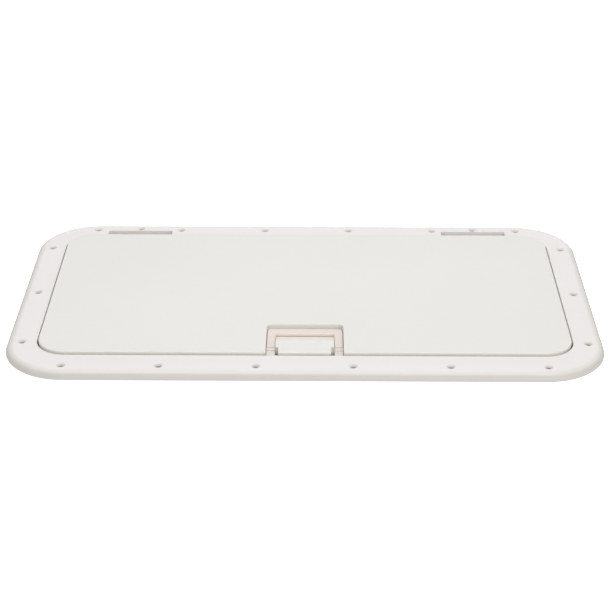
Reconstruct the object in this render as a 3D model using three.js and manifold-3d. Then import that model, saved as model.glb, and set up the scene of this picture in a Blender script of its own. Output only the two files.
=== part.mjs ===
// A moulded plastic deck hatch: a flanged frame with a hinged lid and a latched lift handle.
// Millimetres. +X along the hinge, +Y towards the hinge, +Z up out of the deck.
// z = 0 is the bottom of the collar that drops through the deck; x = y = 0 is the middle.

import * as THREE from "three";
import { mergeVertices } from "three/addons/utils/BufferGeometryUtils.js";
import Module from "manifold-3d";

const wasm = await Module();
wasm.setup();

// ---------------------------------------------------------------- driving sizes

const HATCH_WIDTH = 606; // frame, along X
const HATCH_DEPTH = 353; // frame, along Y
const COLLAR_DEPTH = 27; // flange top down to the collar's bottom edge
const LID_PROUD = 2.5; // lid top above the flange top
const FIT = 0.3; // gap between two pieces that touch

// frame
const FLANGE_CORNER = 65;
const FLANGE_SHEET = 3.2;
const RIM_HEIGHT = 8; // flange top down to the deck
const RIM_ROUND_OUT = 8; // how far in the rim's rounding reaches
const RIM_ROUND_DOWN = 7; // how far down it reaches
const RIM_STEPS = 6; // facets across the rim's rounding
const RIM_WALL = 4;
const SIDE_FLANGE = 31;
const RIB_BITE = 0.5; // how far a tie rib goes into the rim's wall, under the rounding
const FRONT_FLANGE = 38.4;
const BACK_FLANGE = 32;
const OPENING_CORNER = 31.5;
const COLLAR_WALL = 3;
const GUTTER_WIDTH = 26; // opening wall to the inner face of the gutter's lip
const GUTTER_DEPTH = 17; // flange top down to the gutter floor
const GUTTER_FLOOR = 3;
const LIP_WALL = 3;
const LIP_CORNER = 28;
const GUSSET_WALL = 3;
const GUSSET_REACH = 15;
const GUSSET_FOOT = 1; // collar's bottom edge to the gusset's lower point
const GUSSETS_LONG = 6; // on the front and on the back
const GUSSETS_SHORT = 3; // on each side

// fixing holes through the flange
const HOLE_RADIUS = 2.6;
const COUNTERSINK_RADIUS = 4.6;
const COUNTERSINK_DEPTH = 2.4;
const BOSS_RADIUS = 5.6;
const HOLES_LONG = 6; // along the front and the back
const HOLES_SHORT = 3; // on each side
const HOLE_END_LONG = 62; // frame's side edge to the first hole of the front and back rows
const HOLE_END_SHORT = 65.5; // frame's front or back edge to the first hole of a side row
const HOLE_EDGE_FRONT = 17;
const HOLE_EDGE_BACK = 16.5;
const HOLE_EDGE_SIDE = 16;
const HOLE_EDGE_HINGE = 13.2; // the two holes behind the hinge slots

// lid
const LID_GAP = 1.6;
const LID_SHEET = 3;
const LID_EDGE_ROUND = 0.8;
const LID_DROP = 8; // flange top down to the lid's skirt and seal rib
const SKIRT_WALL = 3;
const SEAL_RIB_WALL = 2.5;
const GRID_RIB_WALL = 2.2;
const GRID_RIB_DROP = 7; // flange top down to the stiffening ribs
const GRID_LONG_RIBS = 3;
const GRID_CROSS_RIBS = 7;
const GRID_FLANGE_RIBS = 4; // on each side of the tray, from the skirt to the seal rib

// gasket
const GASKET_LEG = 1.5;
const GASKET_GRIP = 3.4; // how far its legs hang down the lip
const BULB_HEIGHT = 4.8; // lip's top up to the top of the bulb
const BULB_ROUND = 1.3;
const GASKET_BASE = 1.6; // thickness of the base across the lip's top
const GASKET_BASE_ROUND = 0.6;

// hinges
const HINGE_END = 111.5; // frame's side edge to the middle of a hinge
const SLOT_LENGTH = 73;
const SLOT_BACK = 13.3; // opening wall to the slot's far edge
const PIN_BACK = 5.5; // opening wall to the pin
const PIN_DROP = 4; // flange top down to the pin
const PIN_RADIUS = 1.3;
const KNUCKLE_RADIUS = 2.6;
const POCKET_END_WALL = 5;
const POCKET_BACK_WALL = 2.2;
const POCKET_FLOOR = 1.1;
const ARM_END_GAP = 1.5;
const ARM_PLATE = 3;
const ARM_TOP_DROP = 5.8; // flange top down to the top of the arm's plate
const ARM_FRONT_GAP = 1; // gasket to the arm's front edge
const ARM_SKIRT_GAP = 1.5; // lid's skirt to the arm's bend
const ARM_SKEW = 1; // how far the bend's lower edge lies in front of its upper one
const PAD_GAP = 0.5; // arm's bend to the pad above its plate
const ARM_RISE_BACK = 0.8; // opening wall to where the arm's underside reaches the knuckle
const ARM_CORNER_RISE = 0.6; // small slope on the arm's upper corner
const KNUCKLE_END = 0.75 * Math.PI; // where the knuckle's round runs into the arm's upper side
const CLIP_RADIUS = 2.6;
const CLIP_THICKNESS = 0.8;
const ARM_SCREWS = 3;
const ARM_SCREW_PITCH = 24;

// latch
const RECESS_WIDTH = 78.4;
const RECESS_LENGTH = 60; // lid's front edge to the recess's back wall
const RECESS_CORNER = 5;
const CHANNEL_WIDTH = 9.7;
const CHANNEL_BACK_WIDTH = 11.8;
const CHANNEL_DROP = 6.1; // flange top down to the channel's floor
const TRAY_WALL = 2.2;
const TRAY_EAR_REACH = 12;
const EAR_ROOM = 1; // in front of the ears
const TRAY_SCREW_FRONT = 31.5; // lid's front edge to the tray's first pair of screws
const TRAY_SCREW_BACK = 5; // recess's back wall to the second pair
const TRAY_WEB = 2; // half of the web under the ramp that the gasket presses on
const SCOOP_SIDE = 1.6; // how far the scoop's outside stands past the ramp on each side
const SCOOP_FRONT = 12; // bar's front edge to the front of the scoop's outside
const SCOOP_DIP = 6; // bar's front edge to the deepest floor
const CORE_END = 14; // bar's front edge to the end of the hollow under the ramp
const BEARING_HALF = 3.6; // half the width of a pin bearing along Y
const BEARING_UNDER = 2.5; // wall below the pin
const BEARING_SIDE = 0.6; // wall past the pin's inner end
const SCOOP_BROW = 22; // lid's front edge to the top of the finger ramp
const BROW_LAP = 4; // how far the solid in front of the ramp reaches back past its top
const RAMP_FOOT_DROP = 6.5; // flange top down to the ramp at the handle's bar
const SCOOP_DROP = 9.5; // flange top down to the deepest floor, under the bar
const NOTCH_WIDTH = 3;
const NOTCH_LENGTH = 10.7;
const PIVOT_BACK = 7; // lid's front edge to the handle's pins
const PIVOT_DROP = 6;
const HANDLE_GAP = 0.4;
const HANDLE_THICKNESS = 3.5;
const HANDLE_BEVEL = 0.7;
const HANDLE_DROP = 2.3; // flange top down to the handle's top
const HANDLE_INNER_CORNER = 3;
const BAR_UNDERCUT = 0.6; // how much thinner the bar is at its front edge
const UNDERCUT_REACH = 8; // how far back the undercut runs out
const FOOT_STEP = 0.7;
const FOOT_STEPS_BACK = [19.7, 13.9]; // lid's front edge to each step on the handle's feet
const FOOT_RADIUS = 2.7;
const FOOT_TONGUE = 5; // pin to the foot's front end
const TONGUE_DROP = 0.4; // top of the foot's round down to the tongue's top
const TONGUE_THICKNESS = 2.2;
const HANDLE_PIN_RADIUS = 1.25;
const HANDLE_PIN_GRIP = 2.2; // length of pin held inside the ramp's cheek
const PIN_HEAD = 1; // how far the pin's outer end stands past the tray's wall
const HOOK_WIDTH = 6;
const HOOK_NOSE = 4.5; // pin down to the hook's catching face
const HOOK_DEPTH = 8.5; // pin down to the hook's lowest point
const HOOK_ROOM = 1.2; // between the turning hook and the edge of its window
const HOOK_TIP = 6.5; // pin forward to the hook's tip
const HOOK_STEM_FRONT = 4.2;
const HOOK_STEM_BACK = 2.5;
const HOOK_SHOULDER = 2; // slope at the top of the stem's front
const HOOK_TIP_WALL = 1;
const HOOK_HEEL = 1.5; // slopes at the hook's lower corners
const SPRING_WIRE = 0.3;
const SPRING_TURNS = 2.5;
const SPRING_STEPS = 14; // for each turn
const SPRING_END_GAP = 0.2;
const SPRING_PIN_GAP = 0.35;

// strike bracket
const STRIKE_SHEET = 1.2;
const STRIKE_OVERHANG = 2.8; // past the handle's arm at each end
const STRIKE_FOLD = 3.6; // how far the top fold reaches in
const STRIKE_FOOT_CLEAR = 2.5; // channel's inner side to the end of the foot
const STRIKE_FOOT_REACH = 11.8;
const STRIKE_SCREW_X = 15;
const STRIKE_SCREW_BACK = 0.8; // middle of the foot to its screws
const STRIKE_WEB_DROP = 3; // foot up to the lower edge of the upright's wide part
const STRIKE_SCREW_SPARE = 3; // length of screw past the gutter floor

// screws
const SCREW_SHANK = 1.7;
const SCREW_HEAD_RADIUS = 3.2;
const SCREW_HEAD_HEIGHT = 2;
const SCREW_BOSS_RADIUS = 4.2;
const SCREW_TIP_LENGTH = 1.4;
const SCREW_TIP_RADIUS = 0.6;
const SCREW_HEAD_EDGE = [0.9, 0.8]; // chamfer round the head's top: sideways, then in height
const SCREW_SLOT_HALF = [1.9, 0.4]; // half the length and half the width of each arm of the cross
const SCREW_SLOT_DEPTH = 0.9;
const SCREW_ROOF = 0.7; // how far a screw hole runs into the lid's sheet

const PAST = 1; // how far a cutter runs past the face it opens
const AHEAD = 40; // how far a recess's outline runs out past the lid's front edge
const SUNK = 1; // how far a joined solid is sunk into the one it joins
const ABOVE = 20; // height of a cutter that has to clear the whole part
const ARC_POINTS = 9; // points on a quarter turn of an outline
const ROUND_SIDES = 16; // sides of a small round piece

// ---------------------------------------------------------------- places worked out from the sizes

const TOP = COLLAR_DEPTH; // z of the flange's top face
const FRAME = { x0: -HATCH_WIDTH / 2, x1: HATCH_WIDTH / 2, y0: -HATCH_DEPTH / 2, y1: HATCH_DEPTH / 2 };
const OPENING = {
  x0: FRAME.x0 + SIDE_FLANGE,
  x1: FRAME.x1 - SIDE_FLANGE,
  y0: FRAME.y0 + FRONT_FLANGE,
  y1: FRAME.y1 - BACK_FLANGE,
};
const LID = inset(OPENING, LID_GAP);
const LID_CORNER = OPENING_CORNER - LID_GAP;
const LIP_MIDDLE = GUTTER_WIDTH - LIP_WALL / 2; // opening wall to the middle of the lip
const LIP_MIDDLE_CORNER = LIP_CORNER + LIP_WALL / 2;
const SHEET_BOTTOM = TOP + LID_PROUD - LID_SHEET;
const LID_BOTTOM = TOP - LID_DROP;
const GASKET_TOP = LID_BOTTOM - FIT;
const LIP_TOP = GASKET_TOP - BULB_HEIGHT;
const GUTTER_TOP = TOP - GUTTER_DEPTH;
const DECK = TOP - RIM_HEIGHT; // z of the deck under the flange
const HOLE_PITCH_LONG = (HATCH_WIDTH - 2 * HOLE_END_LONG) / (HOLES_LONG - 1);
const HOLE_PITCH_SHORT = (HATCH_DEPTH - 2 * HOLE_END_SHORT) / (HOLES_SHORT - 1);
const HINGE_X = HATCH_WIDTH / 2 - HINGE_END;

const HINGE_AXIS = { y: OPENING.y1 + PIN_BACK, z: TOP - PIN_DROP };
const ARM_TOP = TOP - ARM_TOP_DROP;
const ARM_LENGTH = SLOT_LENGTH - 2 * ARM_END_GAP;
const GASKET_REACH = GUTTER_WIDTH - LIP_WALL - FIT - GASKET_LEG; // opening wall to the gasket
const ARM_FRONT = OPENING.y1 - GASKET_REACH + ARM_FRONT_GAP;
const ARM_BEND = LID.y1 - SKIRT_WALL - ARM_SKIRT_GAP; // where the arm turns up to its knuckle
const ARM_SCREW_Y = (ARM_FRONT + ARM_BEND - PAD_GAP * 2) / 2;

const RECESS_HALF = RECESS_WIDTH / 2;
const RAMP_HALF = RECESS_HALF - CHANNEL_WIDTH;
const RECESS_BACK = LID.y0 + RECESS_LENGTH;
const BAR_FRONT = RECESS_BACK - CHANNEL_BACK_WIDTH;
const CHANNEL_FLOOR = TOP - CHANNEL_DROP;
const PIVOT = { y: LID.y0 + PIVOT_BACK, z: TOP - PIVOT_DROP };
const STRIKE_SCREW_Y = OPENING.y0 + FIT + STRIKE_FOOT_REACH / 2 + STRIKE_SCREW_BACK;
const HOOK_SWEEP = HOOK_DEPTH + HOOK_ROOM;
const TRAY_HALF = RECESS_HALF + TRAY_WALL;
const TRAY_EAR_TOP = LID_BOTTOM + TRAY_WALL;
const HANDLE_PIN_START = RAMP_HALF - NOTCH_WIDTH - HANDLE_PIN_GRIP;
const HANDLE_PIN_END = TRAY_HALF + PIN_HEAD;
const CORE_HALF = HANDLE_PIN_START - BEARING_SIDE;
const TRAY_BACK = RECESS_BACK + TRAY_WALL;
const TRAY_SCREW_X = TRAY_HALF + TRAY_EAR_REACH / 2;
const TRAY_SCREW_YS = [LID.y0 + TRAY_SCREW_FRONT, RECESS_BACK - TRAY_SCREW_BACK];

// ---------------------------------------------------------------- solids

// A geometry as a manifold solid.
function solid(geometry) {
  const plain = geometry.index ? geometry.toNonIndexed() : geometry.clone();
  plain.deleteAttribute("normal");
  plain.deleteAttribute("uv");
  const merged = mergeVertices(plain, 1e-4);
  return new wasm.Manifold(
    new wasm.Mesh({
      numProp: 3,
      vertProperties: merged.attributes.position.array,
      triVerts: new Uint32Array(merged.index.array),
    }),
  );
}

function union(solids) {
  return solids.reduce((joined, next) => joined.add(next));
}

function cut(base, tools) {
  return tools.reduce((left, tool) => left.subtract(tool), base);
}

const group = new THREE.Group();

// Adds a solid to the part as a named mesh.
function addPiece(name, shape, material) {
  const mesh = shape.getMesh();
  const geometry = new THREE.BufferGeometry();
  geometry.setAttribute("position", new THREE.BufferAttribute(new Float32Array(mesh.vertProperties), 3));
  geometry.setIndex(new THREE.BufferAttribute(new Uint32Array(mesh.triVerts), 1));
  geometry.computeVertexNormals();
  const piece = new THREE.Mesh(geometry, material);
  piece.name = name;
  group.add(piece);
}

function box(x0, x1, y0, y1, z0, z1) {
  const geometry = new THREE.BoxGeometry(x1 - x0, y1 - y0, z1 - z0);
  return solid(geometry.translate((x0 + x1) / 2, (y0 + y1) / 2, (z0 + z1) / 2));
}

// A rectangle moved in by a distance on every side; a negative distance moves it out.
function inset(rect, distance) {
  return {
    x0: rect.x0 + distance,
    x1: rect.x1 - distance,
    y0: rect.y0 + distance,
    y1: rect.y1 - distance,
  };
}

// A rectangle with round corners, as a shape in the XY plane.
function roundedRect({ x0, x1, y0, y1 }, radius) {
  const shape = new THREE.Shape();
  shape.absarc(x1 - radius, y0 + radius, radius, -Math.PI / 2, 0);
  shape.absarc(x1 - radius, y1 - radius, radius, 0, Math.PI / 2);
  shape.absarc(x0 + radius, y1 - radius, radius, Math.PI / 2, Math.PI);
  shape.absarc(x0 + radius, y0 + radius, radius, Math.PI, 1.5 * Math.PI);
  return shape;
}

// A shape in the XY plane pulled up from z0 to z1.
function prism(shape, z0, z1) {
  const settings = { depth: z1 - z0, bevelEnabled: false, curveSegments: ARC_POINTS };
  return solid(new THREE.ExtrudeGeometry(shape, settings).translate(0, 0, z0));
}

// The same with its top edges rounded over, by `out` sideways and `down` in height.
function roundedPrism(shape, z0, z1, out, down, steps) {
  const settings = {
    depth: z1 - z0,
    curveSegments: ARC_POINTS,
    bevelSize: out,
    bevelOffset: -out,
    bevelThickness: down,
    bevelSegments: steps,
  };
  const long = solid(new THREE.ExtrudeGeometry(shape, settings).translate(0, 0, z0 - down));
  const reach = HATCH_WIDTH;
  return long.subtract(box(-reach, reach, -reach, reach, z0 - ABOVE, z0));
}

// A band between two rounded rectangles, both measured inwards from the opening.
function band(outer, outerCorner, inner, innerCorner) {
  const shape = roundedRect(inset(OPENING, outer), outerCorner);
  shape.holes.push(roundedRect(inset(OPENING, inner), innerCorner));
  return shape;
}

// A side view drawn as [y, z] points or a shape, pulled along X from x0 to x1.
function sideways(profile, x0, x1) {
  const shape = Array.isArray(profile)
    ? new THREE.Shape(profile.map(([y, z]) => new THREE.Vector2(y, z)))
    : profile;
  const settings = { depth: x1 - x0, bevelEnabled: false, curveSegments: ARC_POINTS };
  const geometry = new THREE.ExtrudeGeometry(shape, settings);
  // the shape's own x and y become the part's Y and Z, and its depth becomes X
  const turn = new THREE.Matrix4().set(0, 0, 1, x0, 1, 0, 0, 0, 0, 1, 0, 0, 0, 0, 0, 1);
  return solid(geometry.applyMatrix4(turn));
}

function rodAlongX(radius, x0, x1, { y, z }) {
  const geometry = new THREE.CylinderGeometry(radius, radius, x1 - x0, ROUND_SIDES);
  return solid(geometry.rotateZ(Math.PI / 2).translate((x0 + x1) / 2, y, z));
}

// A turned piece about a vertical axis through (x, y), from [radius, z] points on and off the axis.
function turned(profile, x, y) {
  const points = profile.map(([radius, z]) => new THREE.Vector2(radius, z));
  const geometry = new THREE.LatheGeometry(points, ROUND_SIDES);
  return solid(geometry.rotateX(Math.PI / 2).translate(x, y, 0));
}

function rodAlongZ(radius, z0, z1, x, y) {
  return turned([[0, z0], [radius, z0], [radius, z1], [0, z1]], x, y);
}

// A pan head screw whose head bears on z = seat. `way` is +1 when the tip points up, -1 when down.
function panScrew(x, y, seat, length, way) {
  const head = seat - way * SCREW_HEAD_HEIGHT;
  const profile = [
    [0, head],
    [SCREW_HEAD_RADIUS - SCREW_HEAD_EDGE[0], head],
    [SCREW_HEAD_RADIUS, head + way * SCREW_HEAD_EDGE[1]],
    [SCREW_HEAD_RADIUS, seat],
    [SCREW_SHANK, seat],
    [SCREW_SHANK, seat + way * (length - SCREW_TIP_LENGTH)],
    [SCREW_TIP_RADIUS, seat + way * length],
    [0, seat + way * length],
  ];
  const screw = turned(way > 0 ? profile : profile.reverse(), x, y);
  const low = Math.min(head - way * PAST, head + way * SCREW_SLOT_DEPTH);
  const high = Math.max(head - way * PAST, head + way * SCREW_SLOT_DEPTH);
  const slots = [SCREW_SLOT_HALF, [...SCREW_SLOT_HALF].reverse()].map(([halfX, halfY]) =>
    box(x - halfX, x + halfX, y - halfY, y + halfY, low, high),
  );
  return cut(screw, slots);
}

// Whole numbers 0 .. count - 1, spread evenly about the middle at a pitch.
function row(count, pitch) {
  return Array.from({ length: count }, (_, i) => (i - (count - 1) / 2) * pitch);
}

// ---------------------------------------------------------------- materials

const whitePlastic = new THREE.MeshStandardMaterial({ color: 0xeae7e4, roughness: 0.45, metalness: 0 });
const lidPlastic = new THREE.MeshStandardMaterial({ color: 0xe8e7e5, roughness: 0.6, metalness: 0 });
const latchPlastic = new THREE.MeshStandardMaterial({ color: 0xe4dfd6, roughness: 0.4, metalness: 0 });
const hingePlastic = new THREE.MeshStandardMaterial({ color: 0xd9d6cf, roughness: 0.5, metalness: 0 });
const sealRubber = new THREE.MeshStandardMaterial({ color: 0x2b2b2c, roughness: 0.85, metalness: 0 });
const stainless = new THREE.MeshStandardMaterial({ color: 0xb9babb, roughness: 0.3, metalness: 1 });

// ---------------------------------------------------------------- frame

// Middle of every fixing hole in the flange.
function fixingHoles() {
  const long = row(HOLES_LONG, HOLE_PITCH_LONG);
  const front = long.map((x) => [x, FRAME.y0 + HOLE_EDGE_FRONT]);
  const back = long.map((x) => [x, FRAME.y1 - HOLE_EDGE_BACK]);
  const hinge = [-HINGE_X, HINGE_X].map((x) => [x, FRAME.y1 - HOLE_EDGE_HINGE]);
  const sides = row(HOLES_SHORT, HOLE_PITCH_SHORT).flatMap((y) => [
    [FRAME.x0 + HOLE_EDGE_SIDE, y],
    [FRAME.x1 - HOLE_EDGE_SIDE, y],
  ]);
  return [...front, ...back, ...hinge, ...sides];
}

// Flange with its rounded rim, open underneath between the rim and the collar.
function flange() {
  const outer = roundedPrism(
    roundedRect(FRAME, FLANGE_CORNER),
    DECK,
    TOP,
    RIM_ROUND_OUT,
    RIM_ROUND_DOWN,
    RIM_STEPS,
  );
  const opening = prism(roundedRect(OPENING, OPENING_CORNER), -PAST, TOP + PAST);
  const hollow = roundedRect(inset(FRAME, RIM_WALL), FLANGE_CORNER - RIM_WALL);
  hollow.holes.push(roundedRect(inset(OPENING, -COLLAR_WALL), OPENING_CORNER + COLLAR_WALL));
  return cut(outer, [opening, prism(hollow, DECK - PAST, TOP - FLANGE_SHEET)]);
}

// Collar through the deck, the drain gutter inside it and the lip that carries the gasket.
function collar() {
  const wall = band(-COLLAR_WALL, OPENING_CORNER + COLLAR_WALL, 0, OPENING_CORNER);
  const floor = band(-COLLAR_WALL / 2, OPENING_CORNER, GUTTER_WIDTH, LIP_CORNER);
  const lip = band(GUTTER_WIDTH - LIP_WALL, LIP_CORNER + LIP_WALL, GUTTER_WIDTH, LIP_CORNER);
  return union([
    prism(wall, 0, TOP - FLANGE_SHEET / 2),
    prism(floor, GUTTER_TOP - GUTTER_FLOOR, GUTTER_TOP),
    prism(lip, GUTTER_TOP - GUTTER_FLOOR / 2, LIP_TOP),
  ]);
}

// Side view of a gusset against a wall; `way` points inwards from the wall.
function gussetProfile(wall, way) {
  const high = GUTTER_TOP - GUTTER_FLOOR / 2;
  return [
    [wall - way * SUNK, GUSSET_FOOT],
    [wall, GUSSET_FOOT],
    [wall + way * GUSSET_REACH, high],
    [wall - way * SUNK, high],
  ];
}

// Triangular gussets under the gutter, from the collar inwards.
function gussets() {
  const half = GUSSET_WALL / 2;
  const long = row(GUSSETS_LONG, (OPENING.x1 - OPENING.x0 - 2 * LIP_CORNER) / GUSSETS_LONG);
  const short = row(GUSSETS_SHORT, (OPENING.y1 - OPENING.y0 - 2 * LIP_CORNER) / GUSSETS_SHORT);
  const middleY = (OPENING.y0 + OPENING.y1) / 2;
  const made = [];
  for (const x of long) {
    for (const [wall, way] of [[OPENING.y0, 1], [OPENING.y1, -1]]) {
      made.push(sideways(gussetProfile(wall, way), x - half, x + half));
    }
  }
  for (const y of short) {
    for (const [wall, way] of [[OPENING.x0, 1], [OPENING.x1, -1]]) {
      const shape = new THREE.Shape(gussetProfile(wall, way).map(([x, z]) => new THREE.Vector2(x, z)));
      const settings = { depth: GUSSET_WALL, bevelEnabled: false };
      const geometry = new THREE.ExtrudeGeometry(shape, settings).rotateX(Math.PI / 2);
      made.push(solid(geometry.translate(0, middleY + y + half, 0)));
    }
  }
  return made;
}

// Screw bosses, and a rib on each side that ties a boss to the rim and the collar.
function bosses() {
  const made = [];
  for (const [x, y] of fixingHoles()) {
    made.push(rodAlongZ(BOSS_RADIUS, DECK, TOP - FLANGE_SHEET / 2, x, y));
  }
  const high = TOP - FLANGE_SHEET / 2;
  const ribHalf = GRID_RIB_WALL / 2;
  const ribInset = RIM_WALL - RIB_BITE;
  for (const x of row(HOLES_LONG, HOLE_PITCH_LONG)) {
    const frontEdge = FRAME.y0 + ribInset;
    const backEdge = FRAME.y1 - ribInset;
    made.push(box(x - ribHalf, x + ribHalf, frontEdge, OPENING.y0 - COLLAR_WALL / 2, DECK, high));
    made.push(box(x - ribHalf, x + ribHalf, OPENING.y1 + COLLAR_WALL / 2, backEdge, DECK, high));
  }
  for (const y of row(HOLES_SHORT, HOLE_PITCH_SHORT)) {
    made.push(box(FRAME.x0 + ribInset, OPENING.x0 - COLLAR_WALL / 2, y - ribHalf, y + ribHalf, DECK, high));
    made.push(box(OPENING.x1 + COLLAR_WALL / 2, FRAME.x1 - ribInset, y - ribHalf, y + ribHalf, DECK, high));
  }
  return made;
}

function fixingHoleCuts() {
  return fixingHoles().map(([x, y]) =>
    turned(
      [
        [0, DECK - PAST],
        [HOLE_RADIUS, DECK - PAST],
        [HOLE_RADIUS, TOP - COUNTERSINK_DEPTH],
        [COUNTERSINK_RADIUS, TOP],
        [COUNTERSINK_RADIUS, TOP + PAST],
        [0, TOP + PAST],
      ],
      x,
      y,
    ),
  );
}

// The pocket under each hinge slot, closed by the flange's depth, with a bearing in each end wall.
function hingePocket(x) {
  const half = SLOT_LENGTH / 2 + POCKET_END_WALL;
  const back = OPENING.y1 + SLOT_BACK + POCKET_BACK_WALL;
  return box(x - half, x + half, OPENING.y1 + COLLAR_WALL / 2, back, DECK, TOP - FLANGE_SHEET / 2);
}

function hingePocketCuts(x) {
  const half = SLOT_LENGTH / 2;
  const back = OPENING.y1 + SLOT_BACK;
  const bore = half + POCKET_END_WALL + PAST;
  return [
    box(x - half, x + half, OPENING.y1 - PAST, back, DECK + POCKET_FLOOR, TOP + PAST),
    rodAlongX(PIN_RADIUS + FIT, x - bore, x + bore, HINGE_AXIS),
  ];
}

function frame() {
  const hinges = [-HINGE_X, HINGE_X];
  const body = union([flange(), collar(), ...gussets(), ...bosses(), ...hinges.map(hingePocket)]);
  const strikeHoles = [-STRIKE_SCREW_X, STRIKE_SCREW_X].map((x) =>
    rodAlongZ(SCREW_SHANK + FIT, GUTTER_TOP - GUTTER_FLOOR - PAST, GUTTER_TOP + PAST, x, STRIKE_SCREW_Y),
  );
  return cut(body, [...fixingHoleCuts(), ...hinges.flatMap(hingePocketCuts), ...strikeHoles]);
}

// ---------------------------------------------------------------- gasket

// A bulb that the lid presses, on two legs that grip the lip.
function gasket() {
  const outer = GUTTER_WIDTH - LIP_WALL - FIT;
  const inner = GUTTER_WIDTH + FIT;
  const legs = band(
    outer - GASKET_LEG,
    LIP_CORNER + LIP_WALL + FIT + GASKET_LEG,
    inner + GASKET_LEG,
    LIP_CORNER - FIT - GASKET_LEG,
  );
  const bulb = band(outer, LIP_CORNER + LIP_WALL + FIT, inner, LIP_CORNER - FIT);
  const groove = prism(bulb, LIP_TOP - GASKET_GRIP - PAST, LIP_TOP + FIT);
  const baseTop = LIP_TOP + FIT + GASKET_BASE;
  const base = roundedPrism(legs, LIP_TOP - GASKET_GRIP, baseTop, GASKET_BASE_ROUND, GASKET_BASE_ROUND, 1);
  const top = roundedPrism(bulb, LIP_TOP + FIT, GASKET_TOP, BULB_ROUND, BULB_ROUND, 3);
  return base.subtract(groove).add(top);
}

// ---------------------------------------------------------------- lid

function recessCut(extra, z0, z1) {
  const rect = {
    x0: -RECESS_HALF - extra,
    x1: RECESS_HALF + extra,
    y0: LID.y0 - AHEAD,
    y1: RECESS_BACK + extra,
  };
  return prism(roundedRect(rect, RECESS_CORNER), z0, z1);
}

function lidSheet() {
  const outline = roundedRect(LID, LID_CORNER);
  return roundedPrism(outline, SHEET_BOTTOM, TOP + LID_PROUD, LID_EDGE_ROUND, LID_EDGE_ROUND, 2);
}

function lidSkirt() {
  return prism(
    band(LID_GAP, LID_CORNER, LID_GAP + SKIRT_WALL, LID_CORNER - SKIRT_WALL),
    LID_BOTTOM,
    SHEET_BOTTOM + SUNK,
  );
}

function sealRib() {
  const half = SEAL_RIB_WALL / 2;
  const shape = band(
    LIP_MIDDLE - half,
    LIP_MIDDLE_CORNER + half,
    LIP_MIDDLE + half,
    LIP_MIDDLE_CORNER - half,
  );
  return prism(shape, LID_BOTTOM, SHEET_BOTTOM + SUNK);
}

// Stiffening ribs inside the seal rib, and short ones from the seal rib out to the skirt.
function gridRibs() {
  const field = inset(OPENING, LIP_MIDDLE);
  const low = TOP - GRID_RIB_DROP;
  const high = SHEET_BOTTOM + SUNK;
  const half = GRID_RIB_WALL / 2;
  const middleY = (field.y0 + field.y1) / 2;
  const longPitch = (field.y1 - field.y0) / (GRID_LONG_RIBS + 1);
  const crossPitch = (field.x1 - field.x0) / (GRID_CROSS_RIBS + 1);
  const made = [];
  for (const y of row(GRID_LONG_RIBS, longPitch)) {
    made.push(box(field.x0, field.x1, middleY + y - half, middleY + y + half, low, high));
  }
  for (const x of row(GRID_CROSS_RIBS, crossPitch)) {
    made.push(box(x - half, x + half, field.y0, field.y1, low, high));
  }
  for (const y of row(GRID_LONG_RIBS, longPitch)) {
    made.push(box(LID.x0 + SUNK, field.x0, middleY + y - half, middleY + y + half, low, high));
    made.push(box(field.x1, LID.x1 - SUNK, middleY + y - half, middleY + y + half, low, high));
  }
  const side = (LID.x1 - TRAY_HALF - LID_CORNER) / GRID_FLANGE_RIBS;
  for (let i = 1; i <= GRID_FLANGE_RIBS; i += 1) {
    for (const way of [-1, 1]) {
      const x = way * (TRAY_HALF + i * side);
      made.push(box(x - half, x + half, LID.y0 + SUNK, field.y0, low, high));
    }
  }
  return made;
}

// Solid pad under the lid that each hinge arm is screwed up against.
function hingePad(x) {
  const half = ARM_LENGTH / 2;
  return box(x - half, x + half, ARM_FRONT, ARM_BEND - PAD_GAP, ARM_TOP + FIT, SHEET_BOTTOM + SUNK);
}

function lidScrewHoles() {
  const holes = [];
  const roof = SHEET_BOTTOM + SCREW_ROOF;
  for (const hinge of [-HINGE_X, HINGE_X]) {
    for (const x of row(ARM_SCREWS, ARM_SCREW_PITCH)) {
      holes.push(rodAlongZ(SCREW_SHANK + FIT, LID_BOTTOM - PAST, roof, hinge + x, ARM_SCREW_Y));
    }
  }
  for (const y of TRAY_SCREW_YS) {
    for (const way of [-1, 1]) {
      const x = way * TRAY_SCREW_X;
      holes.push(rodAlongZ(SCREW_SHANK + FIT, LID_BOTTOM - PAST, roof, x, y));
    }
  }
  return holes;
}

function lid() {
  const trayBosses = TRAY_SCREW_YS.flatMap((y) =>
    [-1, 1].map((way) =>
      rodAlongZ(SCREW_BOSS_RADIUS, TRAY_EAR_TOP + FIT, SHEET_BOTTOM + SUNK, way * TRAY_SCREW_X, y),
    ),
  );
  const under = cut(union([lidSkirt(), sealRib(), ...gridRibs()]), [trayClearance()]);
  const slotHalf = SLOT_LENGTH / 2;
  const passageFront = LID.y1 - SKIRT_WALL - PAST;
  const armPassages = [-HINGE_X, HINGE_X].map((x) =>
    box(x - slotHalf, x + slotHalf, passageFront, LID.y1 + PAST, LID_BOTTOM - PAST, SHEET_BOTTOM),
  );
  const body = union([
    lidSheet(),
    cut(under, armPassages),
    ...[-HINGE_X, HINGE_X].map(hingePad),
    ...trayBosses,
  ]);
  return cut(body, [recessCut(0, SHEET_BOTTOM - PAST, TOP + LID_PROUD + PAST), ...lidScrewHoles()]);
}

// ---------------------------------------------------------------- hinges

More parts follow.
